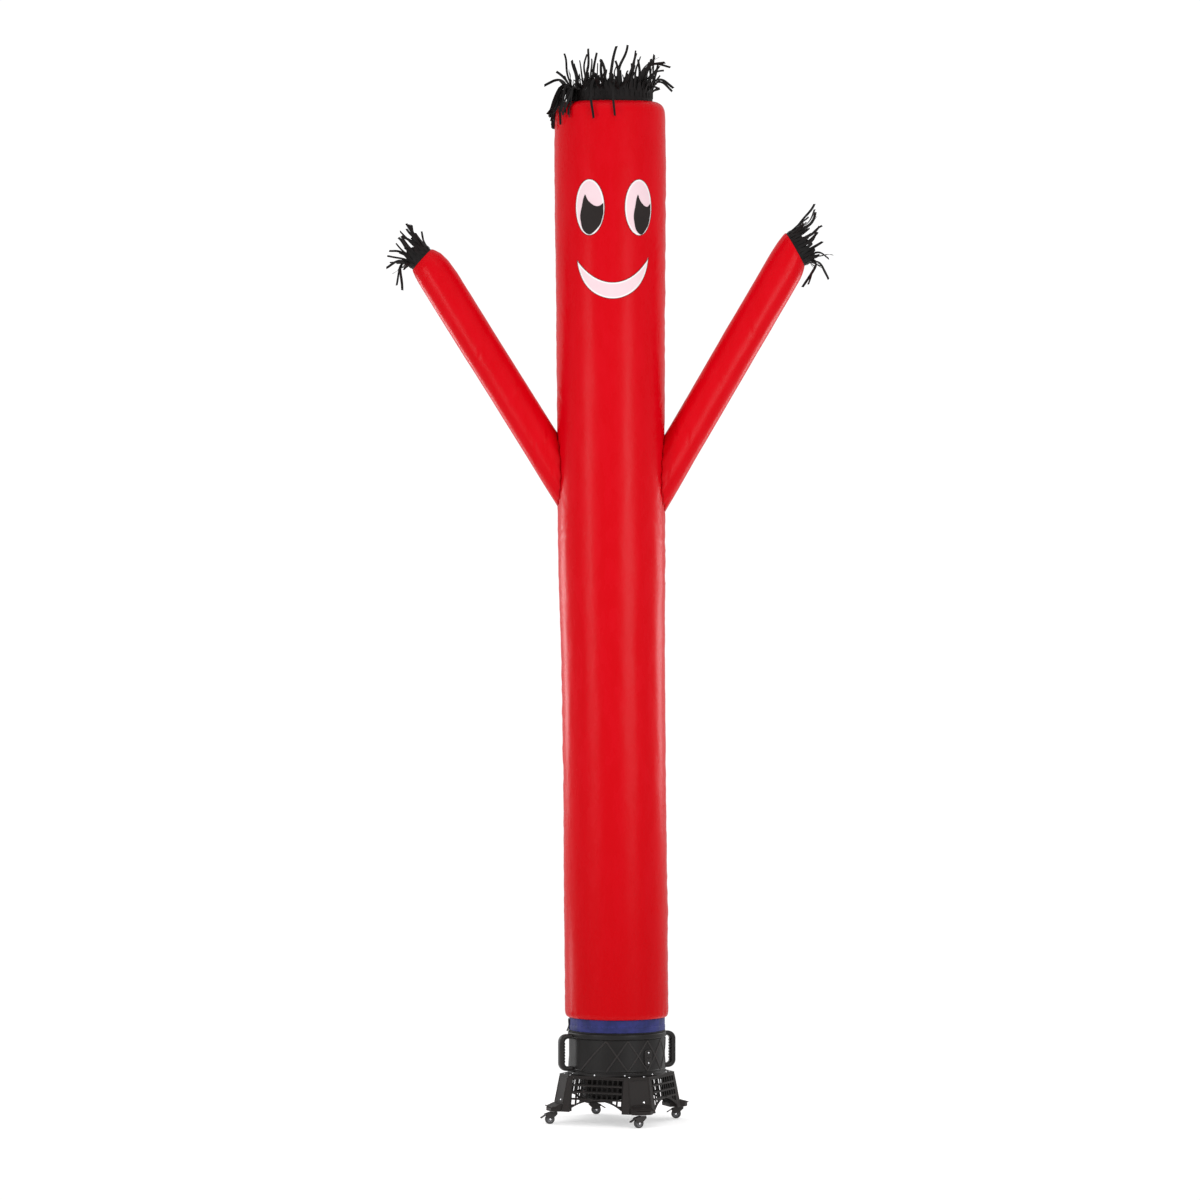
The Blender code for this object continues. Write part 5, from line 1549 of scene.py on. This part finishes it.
def from_front(degrees):
    return radians(degrees - 90.0)


def sweep(bm, path, ups, section, closed=False):
    """Carries a section along a path. ups is its outward direction, or one for each point."""
    rings = []
    count = len(path)
    ups = ups if isinstance(ups, list) else [ups] * count
    for i, (point, up) in enumerate(zip(path, ups)):
        before, after = (i - 1, (i + 1) % count) if closed else (max(i - 1, 0), min(i + 1, count - 1))
        across = (path[after] - path[before]).cross(up).normalized()
        rings.append([bm.verts.new(point + x * across + y * up) for x, y in section])
    skin(bm, rings + rings[:1] if closed else rings, not closed)


RIB_SECTION = mirrored((-0.0027, -0.0006), (-0.0024, 0.0004), (-0.0014, 0.0018))


def add_rib(bm, start, end, steps=22):
    path = []
    ups = []
    for i in range(steps + 1):
        share = i / steps
        ups.append(outward(from_front(start + (end - start) * share)))
        path.append(AXIS + DRUM_RADIUS * ups[-1] + Vector((0, 0, RIB_TOP + (RIB_FOOT - RIB_TOP) * share)))
    sweep(bm, path, ups, RIB_SECTION)


bm = bmesh.new()
for k in range(11):
    peak = RIB_PEAK + RIB_PITCH * k
    add_rib(bm, peak, peak - (RIB_PITCH if k else 35.0))
    add_rib(bm, peak, peak + RIB_PITCH)
ribs = piece("drum_ribs", bm, PLASTIC, sharp=30)
print("ribs", len(ribs.data.polygons), "faces")

# %% [markdown]
# ## Screws, inlet and handles
# Small hardware makes the blower read as a machine. The screws are pan heads with a shallow recess. The
# inlet is a plate with a socket between its two screws. Each handle is one loop with a scalloped grip, lofted
# from an outer and an inner line so that the section can change from the flat arms to the round grip.

# %% Screws
SCREW_PROFILE = ((0.45, 0.97), (0.80, 0.78), (1.00, 0.30), (1.00, -0.40))  # shares of radius and height
RECESS = 0.70  # the recess sinks to this share of the height
PAN_HEAD = (0.0026, 0.0017)  # radius, height
FLANGE_SCREWS = [9 + 36 * k for k in range(10)]  # degrees from the front
FLANGE_AT = (0.1404, 0.1422)  # radius, height
INLET_HEAD = (0.0027, 0.0017)
INLET_REACH = 0.1408
INLET_RISE = 0.0145  # the two screws stand this far above and below the socket
DECK_HEAD = (0.0030, 0.0018)
DECK_AT = (0.1500, 0.0220, 0.1382)  # outwards, to either side, height
LEG_TURNS = {name: 21.4 + 90 * k for k, name in enumerate(("right", "back", "left", "front"))}
INLET_TURN = radians(-51)
INLET_Z = 0.190


def add_screw(bm, place, radius, height):
    """A pan head standing on a frame's Z."""
    rings = []
    for r, z in SCREW_PROFILE:
        ring = [place @ (radius * r * outward(turn) + Vector((0, 0, height * z))) for turn in ring_turns(24)]
        rings.append([bm.verts.new(point) for point in ring])
    skin(bm, rings, False)
    top = bm.verts.new(place @ Vector((0, 0, height * RECESS)))
    for a, b in zip(rings[0], rings[0][1:] + rings[0][:1]):
        bm.faces.new((top, b, a))
    bm.faces.new(rings[-1])


def facing(turn, radius, z):
    """A frame whose Z points outwards from the blower's axis."""
    out = outward(turn)
    axes = Matrix((Vector((-out.y, out.x, 0.0)), Vector((0, 0, 1)), out)).transposed().to_4x4()
    return Matrix.Translation(AXIS + radius * out + Vector((0, 0, z))) @ axes


def leg_frame(name):
    """X points out through the leg's corner."""
    return Matrix.Translation(AXIS) @ Matrix.Rotation(radians(LEG_TURNS[name]), 4, "Z")


bm = bmesh.new()
for degrees in FLANGE_SCREWS:
    add_screw(bm, facing(from_front(degrees), *FLANGE_AT), *PAN_HEAD)
for side in (-1, 1):
    add_screw(bm, facing(INLET_TURN, INLET_REACH, INLET_Z + side * INLET_RISE), *INLET_HEAD)
for name in LEG_TURNS:
    for side in (-1, 1):
        place = leg_frame(name) @ Vector((DECK_AT[0], side * DECK_AT[1], DECK_AT[2]))
        add_screw(bm, Matrix.Translation(place), *DECK_HEAD)
screws = piece("blower_screws", bm, CHROME)
print("screws", len(screws.data.polygons), "faces")

# %% Inlet
INLET_PLATE = (0.024, 0.044, 0.0085)  # width, height, corner
INLET_PROUD = 0.0043
SOCKET = (0.0150, 0.0110, 0.0040)
SOCKET_LIP = mirrored((-0.0009, -0.0006), (-0.0008, 0.0010), (0.0, 0.0014))
BLADE = (0.0012, 0.0050, 0.0004)
BLADE_PITCH = 0.0032


def quarter(x, y, radius, first, steps=8):
    """Points on a quarter circle, from a first direction in degrees."""
    turns = [radians(first + 90 * i / steps) for i in range(steps + 1)]
    return [(x + radius * cos(turn), y + radius * sin(turn)) for turn in turns]


def pill(width, height, corner, steps=6):
    """A rectangle with round corners, as (x, y) points."""
    x, y = width / 2 - corner, height / 2 - corner
    quarters = ((x, -y, -90), (x, y, 0), (-x, y, 90), (-x, -y, 180))
    return [point for x, y, first in quarters for point in quarter(x, y, corner, first, steps)]


def plate(bm, place, outline, low, high, lip):
    """A raised plate with a chamfered rim, in a frame whose Z points out."""
    rings = []
    for inset, z in ((0.0, low), (0.0, high - lip), (lip * 0.35, high - lip * 0.35), (lip, high)):
        ring = []
        for point in outline:
            off = Vector((*point, 0.0))
            ring.append(bm.verts.new(place @ (off * (1 - inset / off.length) + Vector((0, 0, z)))))
        rings.append(ring)
    skin(bm, rings)


bm = bmesh.new()
plate(bm, facing(INLET_TURN, DRUM_RADIUS, INLET_Z), pill(*INLET_PLATE), GAP, INLET_PROUD, 0.0010)
piece("inlet_plate_moulding", bm, PLASTIC, BODY, ("inlet_plate",), 25)
bm = bmesh.new()
socket = facing(INLET_TURN, DRUM_RADIUS + INLET_PROUD, INLET_Z)
loop = [socket @ Vector((*point, 0.0)) for point in pill(*SOCKET)]
sweep(bm, loop, socket.to_3x3().col[2], SOCKET_LIP, True)
for step in (-1, 0, 1):
    place = socket @ Matrix.Translation((step * BLADE_PITCH, 0, 0))
    plate(bm, place, pill(*BLADE, 2), -0.0002, 0.0008, 0.0002)
inlet_socket = piece("inlet_socket", bm, PLASTIC)
print("inlet socket", len(inlet_socket.data.polygons), "faces")

# %% Handles
HANDLE_LOW, HANDLE_HIGH = 0.1480, 0.2520
HANDLE_START = 0.1398
HANDLE_OUT = 0.1770
HANDLE_GRIP = 0.0160
HANDLE_ARM = 0.0128
HANDLE_WIDTH = 0.0220
OUTER_CORNER, INNER_CORNER = 0.0220, 0.0100
SCALLOPS = 7
SCALLOP = 0.0022
SQUARENESS = 0.55  # 1 would make the section an ellipse


def handle_line(corner, out, low, high, wavy):
    """One side of the loop, as (outward, height) points: arm, corner, grip, corner, arm."""
    arm = [HANDLE_START + (out - corner - HANDLE_START) * i / 4 for i in range(4)]
    grip = []
    for i in range(1, SCALLOPS * 8):
        share = i / (SCALLOPS * 8)
        wave = 0.3 - abs(sin(pi * SCALLOPS * share)) ** 0.8
        grip.append((out + wavy * wave, low + corner + (high - low - 2 * corner) * share))
    lower = quarter(out - corner, low + corner, corner, -90)
    upper = quarter(out - corner, high - corner, corner, 0)
    return [(x, low) for x in arm] + lower + grip + upper + [(x, high) for x in reversed(arm)]


def handle_shape(turn):
    outer = handle_line(OUTER_CORNER, HANDLE_OUT, HANDLE_LOW, HANDLE_HIGH, 0.0)
    low, high = HANDLE_LOW + HANDLE_ARM, HANDLE_HIGH - HANDLE_ARM
    inner = handle_line(INNER_CORNER, HANDLE_OUT - HANDLE_GRIP, low, high, SCALLOP)
    out = outward(turn)
    side = Vector((-out.y, out.x, 0.0))
    rows = []
    for (x1, z1), (x2, z2) in zip(outer, inner):
        row = []
        for angle in ring_turns(20):
            a, b = (copysign(abs(part) ** SQUARENESS, part) for part in (cos(angle), sin(angle)))
            x = (x1 + x2) / 2 + a * (x1 - x2) / 2
            z = (z1 + z2) / 2 + a * (z1 - z2) / 2
            row.append(tuple(AXIS + x * out + b * HANDLE_WIDTH / 2 * side + Vector((0, 0, z))))
        rows.append(row)
    bm = bmesh.new()
    bm.from_mesh(grid_mesh(rows))
    bmesh.ops.holes_fill(bm, edges=[edge for edge in bm.edges if edge.is_boundary])
    return bm


for name in ("right", "left"):
    shape = handle_shape(radians(LEG_TURNS[name]))
    handle = piece(f"handle_{name}_moulding", shape, PLASTIC, BODY, (f"handle_{name}",), 60)
    print("handle", name, len(handle.data.polygons), "faces")

# %% [markdown]
# ## The base
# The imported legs, grilles and deck already have their true form, so they stay and only have their edges
# rounded. The mouldings that stiffen them are added: a raised bead along both edges of every corner panel, a
# lip over the foot, and rails across the grilles, whose edges catch the light.

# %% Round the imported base
BASE_EDGES = {"base_deck": 0.0009, "fan_guard": 0.0006, "motor": 0.0020, "impeller": 0.0005}
BASE_EDGES |= {f"leg_{name}": 0.0008 for name in LEG_TURNS}
BASE_EDGES |= {f"grille_{a}_{b}": 0.0006 for a in ("front", "back") for b in ("left", "right")}


def round_node(name, width, finish):
    """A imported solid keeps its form: it gets a finish and rounded edges."""
    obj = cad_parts[name]
    obj.data.materials.clear()
    obj.data.materials.append(finish)
    modify(obj, "edges", "BEVEL", width=width, segments=2, limit_method="ANGLE", angle_limit=radians(35))


for name, width in BASE_EDGES.items():
    round_node(name, width, MOTOR_STEEL if name == "motor" else BASE_PLASTIC)
print(len(BASE_EDGES), "packed solids rounded")

# %% Beads along the legs
SKIRT_TOP, SKIRT_FOOT = 0.1337, 0.0370
SIDE_TOP, SIDE_FOOT = 0.1380, 0.1535
CORNER_TOP, CORNER_FOOT = 0.1620, 0.1820
PANEL_UP = Vector((0.0967, 0.0, 0.0200)).normalized()  # outward direction of a corner panel
FOOT_UP = Vector((0.4, 0.0, 1.0)).normalized()
BEAD_INSET = 0.0030
BEAD_ENDS = (0.1315, 0.0600)  # heights between which the upright beads run
BAR_HEIGHTS = (0.1300, 0.0620)
LIP_SIDE = 0.0290
LIP_XS = (0.204, 0.198, 0.192, 0.186, 0.181)
LIP_FRONT = (0.2062, 0.0502)  # outwards, height
BEAD = mirrored((-0.0019, -0.0008), (-0.0016, 0.0006), (-0.0006, 0.0013))


def skirt_at(z):
    """Half side, corner reach and half width of a corner panel at a height."""
    share = (SKIRT_TOP - z) / (SKIRT_TOP - SKIRT_FOOT)
    half = SIDE_TOP + share * (SIDE_FOOT - SIDE_TOP)
    corner = CORNER_TOP + share * (CORNER_FOOT - CORNER_TOP)
    return half, corner, half * sqrt(2) - corner


def on_panel(share, z):
    """A point on a corner panel, at a share of its half width."""
    _, corner, panel = skirt_at(z)
    return corner, share * (panel - BEAD_INSET), z


def bead(bm, place, points, up, size=1.0):
    path = [place @ Vector(point) for point in points]
    sweep(bm, path, (place.to_3x3() @ up).normalized(), [(size * x, size * y) for x, y in BEAD])


bm = bmesh.new()
for name in LEG_TURNS:
    place = leg_frame(name)
    for side in (-1, 1):
        bead(bm, place, [on_panel(side, z) for z in np.linspace(*BEAD_ENDS, 15)], PANEL_UP)
        for z in BAR_HEIGHTS:
            bead(bm, place, [on_panel(side * t, z) for t in (0.0, 0.25, 0.5, 0.75, 1.0)], PANEL_UP)
        bead(bm, place, [(x, side * LIP_SIDE, 0.0465 + 0.4 * (0.2080 - x)) for x in LIP_XS], FOOT_UP)
    front = [(LIP_FRONT[0], y, LIP_FRONT[1]) for y in np.linspace(-LIP_SIDE, LIP_SIDE, 9)]
    bead(bm, place, front, FOOT_UP)
leg_beads = piece("leg_beads", bm, BASE_PLASTIC, sharp=30)

# %% Screws at the legs' feet
FOOT_SCREW_Z = 0.0690
FOOT_HEAD = (0.0034, 0.0020)
FOOT_SCREWS = {"right": (-0.017, 0.017), "back": (0.012,), "left": (0.012,), "front": (0.012,)}

bm = bmesh.new()
sideways = Vector((0, 1, 0))
axes = Matrix((sideways, PANEL_UP.cross(sideways), PANEL_UP)).transposed().to_4x4()
for name, steps in FOOT_SCREWS.items():
    for side in steps:
        place = leg_frame(name) @ Matrix.Translation((skirt_at(FOOT_SCREW_Z)[1], side, FOOT_SCREW_Z))
        add_screw(bm, place @ axes, *FOOT_HEAD)
leg_screws = piece("leg_screws", bm, CHROME)
print("legs", len(leg_beads.data.polygons) + len(leg_screws.data.polygons), "faces of beads and screws")

# %% Rails across the grilles
GRILLE_RISE = 0.0190
GRILLE_HALF = 0.0800
ARCH_RADIUS = 0.1370
ARCH_PEAK = 0.0705
TOP_RAIL = 0.1312


def on_grille(along, z):
    return skirt_at(z)[0] + 0.0002, along, z


def arch_height(along):
    return ARCH_PEAK - ARCH_RADIUS + sqrt(ARCH_RADIUS**2 - along**2)


def rail_spans(z):
    """The stretches of a rail at a height: one, or two where the arch cuts through it."""
    reach = GRILLE_HALF - 0.002
    if z < ARCH_PEAK + 0.006:
        cut = sqrt(ARCH_RADIUS**2 - (ARCH_RADIUS - ARCH_PEAK + z - 0.004) ** 2)
        return (-reach, -cut), (cut, reach)
    return ((-reach, reach),)


lean = atan2(SIDE_FOOT - SIDE_TOP, SKIRT_TOP - SKIRT_FOOT)
grille_up = Vector((cos(lean), 0.0, sin(lean)))
bm = bmesh.new()
for name in LEG_TURNS:
    place = leg_frame(name) @ Matrix.Rotation(pi / 4, 4, "Z")
    for row in (1, 2, 3):
        z = SKIRT_TOP - 0.0026 - row * GRILLE_RISE
        for span in rail_spans(z):
            bead(bm, place, [on_grille(along, z) for along in np.linspace(*span, 9)], grille_up, 1.4)
    alongs = np.linspace(-GRILLE_HALF, GRILLE_HALF, 41)
    bead(bm, place, [on_grille(along, arch_height(along) + 0.0022) for along in alongs], grille_up)
    bead(bm, place, [on_grille(along, TOP_RAIL) for along in alongs[::5]], grille_up)
grille_rails = piece("grille_rails", bm, BASE_PLASTIC, sharp=30)
print("grilles", len(grille_rails.data.polygons), "faces of rails")

# %% [markdown]
# Air comes in through the grilles and up past a short cowl under the deck. It is in shadow, but without it
# the grilles would look empty.

# %% Intake cowl
COWL = (
    (0.1080, 0.1337, 0.0006),
    (0.1040, 0.1180, 0.0060),
    (0.0960, 0.0760, 0.0050),
    (0.1010, 0.0715, 0.0010),
    (0.0990, 0.0705, 0.0006),
    (0.0935, 0.0755, 0.0050),
    (0.1015, 0.1185, 0.0060),
    (0.1055, 0.1337, 0.0006),
)
COWL_RING = mirrored((-0.0012, -0.0010), (-0.0008, 0.0014))
RING_LOW = (0.0972, 0.0820)  # radius and height of the lowest ring
RING_STEP = (0.0018, 0.0100)

bm = bmesh.new()
turned(bm, COWL, 96, Matrix.Translation(AXIS), 4)
cowl = piece("intake_cowl", bm, BASE_PLASTIC)
bm = bmesh.new()
ups = [outward(turn) for turn in [*ring_turns(72), tau]]
for k in range(5):
    radius, z = (low + step * k for low, step in zip(RING_LOW, RING_STEP))
    centre = AXIS + Vector((0, 0, z))
    sweep(bm, [centre + radius * up for up in ups], ups, COWL_RING)
piece("intake_cowl_rings", bm, BASE_PLASTIC)
print("cowl", len(cowl.data.polygons), "quads")

# %% [markdown]
# ## The casters
# Four small swivel casters carry the blower, and each has a brake pedal. A caster turns about its stem, its
# wheel rolls on the axle, and its pedal rocks on a pin, so each of these rides on a body of its own.

# %% Sizes of the casters
CASTER_REACH = 0.1930
CASTER_HEADINGS = {"right": 172.0, "back": 12.0, "left": 196.0, "front": 204.0}
WHEEL_RADIUS = 0.0135
TRAIL = 0.0110
PEDAL_BACK = 0.0225
PEDAL_Z = 0.0268
PEDAL_SLOPE = radians(-32)
TYRE = (
    (0.0090, 0.0051, 0.0006),
    (0.0122, 0.0053, 0.0010),
    (0.0137, 0.0036, 0.0016),
    (0.0137, -0.0036, 0.0016),
    (0.0122, -0.0053, 0.0010),
    (0.0090, -0.0051, 0.0006),
    (0.0086, -0.0040, 0.0004),
    (0.0086, 0.0040, 0.0004),
)
HUB_SIDE = (
    (0.0029, 0.0055, 0.0004),
    (0.0042, 0.0055, 0.0006),
    (0.0048, 0.0034, 0.0008),
    (0.0068, 0.0030, 0.0008),
    (0.0075, 0.0046, 0.0006),
    (0.0089, 0.0048, 0.0005),
)
HUB = HUB_SIDE + tuple((radius, -z, own) for radius, z, own in reversed(HUB_SIDE))
SWIVEL_DISCS = ((0.0118, 0.0351), (0.0098, 0.0337))  # radius, foot
DISC_BORE = 0.0038
DISC_WALL = 0.0015
SPOKE = mirrored((-0.0007, -0.0012), (-0.0005, 0.0006))
SPOKE_RADII = (0.0046, 0.0060, 0.0078)
SPOKE_SIDE = 0.0036  # from the wheel's middle to its spokes
AXLE_HEAD = (0.0030, 0.0012)
AXLE_SIDE = 0.0080
PEDAL_RIB = mirrored((-0.0008, -0.0004), (-0.0004, 0.0008))
PEDAL_RIB_XS = (-0.0070, -0.0100, -0.0130, -0.0160)

print("wheels", round(2000 * WHEEL_RADIUS), "mm across")


# %% Build the casters
def caster_frame(name):
    """Origin on the floor under the stem, with the wheel and the pedal towards -X."""
    place = AXIS + CASTER_REACH * outward(radians(LEG_TURNS[name]))
    return Matrix.Translation(place) @ Matrix.Rotation(radians(CASTER_HEADINGS[name]) + pi, 4, "Z")


def add_spokes(bm, wheel_at):
    for k in range(6):
        spoke = wheel_at @ Matrix.Rotation(radians(60 * k), 4, "Z")
        for side in (-1, 1):
            path = [spoke @ Vector((x, 0.0, side * SPOKE_SIDE)) for x in SPOKE_RADII]
            sweep(bm, path, side * spoke.to_3x3().col[2], SPOKE)


def add_disc(bm, radius, low, place):
    high = low + DISC_WALL
    bore = [(DISC_BORE, z, 0.0003) for z in (low, high)]
    rim = [(radius, z, 0.0005) for z in (low, high)]
    turned(bm, (bore[0], *rim, bore[1]), 40, place)


def make_caster(name):
    at = caster_frame(name)
    roller, swivel = f"roller_{name}", f"swivel_{name}"
    wheel_at = at @ Matrix.Translation((-TRAIL, 0.0, WHEEL_RADIUS)) @ Matrix.Rotation(pi / 2, 4, "X")
    bm = bmesh.new()
    turned(bm, TYRE, 56, wheel_at)
    tyre = piece(f"wheel_{name}_tyre", bm, RUBBER, roller, (f"wheel_{name}",))
    bm = bmesh.new()
    turned(bm, HUB, 48, wheel_at)
    add_spokes(bm, wheel_at)
    piece(f"wheel_{name}_hub", bm, MOTOR_STEEL, roller)
    bm = bmesh.new()
    for half_turn in (pi, 0.0):
        cap = wheel_at @ Matrix.Rotation(half_turn, 4, "X") @ Matrix.Translation((0, 0, AXLE_SIDE))
        add_screw(bm, cap, *AXLE_HEAD)
    for radius, low in SWIVEL_DISCS:
        add_disc(bm, radius, low, at)
    piece(f"swivel_{name}_plate", bm, CHROME, swivel)
    bm = bmesh.new()
    pedal_at = at @ Matrix.Translation((-PEDAL_BACK, 0, PEDAL_Z)) @ Matrix.Rotation(PEDAL_SLOPE, 4, "Y")
    for x in PEDAL_RIB_XS:
        path = [pedal_at @ Vector((x, y, 0.0012)) for y in np.linspace(-0.0046, 0.0046, 5)]
        sweep(bm, path, pedal_at.to_3x3().col[2], PEDAL_RIB)
    piece(f"pedal_{name}_ribs", bm, PLASTIC, f"brake_{name}")
    round_node(f"fork_{name}", 0.0005, PLASTIC)
    round_node(f"pedal_{name}", 0.0006, PLASTIC)
    return tyre


tyres = [make_caster(name) for name in LEG_TURNS]
print("casters", sum(len(tyre.data.polygons) for tyre in tyres), "quads of tyre")

# %% [markdown]
# ## The floor
# The floor is a wide pale plane.

# %% Floor
FLOOR_RADIUS = 0.9

floor_mesh = bpy.data.meshes.new("floor")
floor_mesh.from_pydata([FLOOR_RADIUS * outward(turn) for turn in ring_turns(96)], [], [tuple(range(96))])
floor = add_object("floor", floor_mesh)
pale = Finish("pale_floor")
floor_mesh.materials.append(
    pale.done(Base_Color=(0.86, 0.86, 0.86), Roughness=0.9, Emission_Color=WHITE, Emission_Strength=0.42)
)
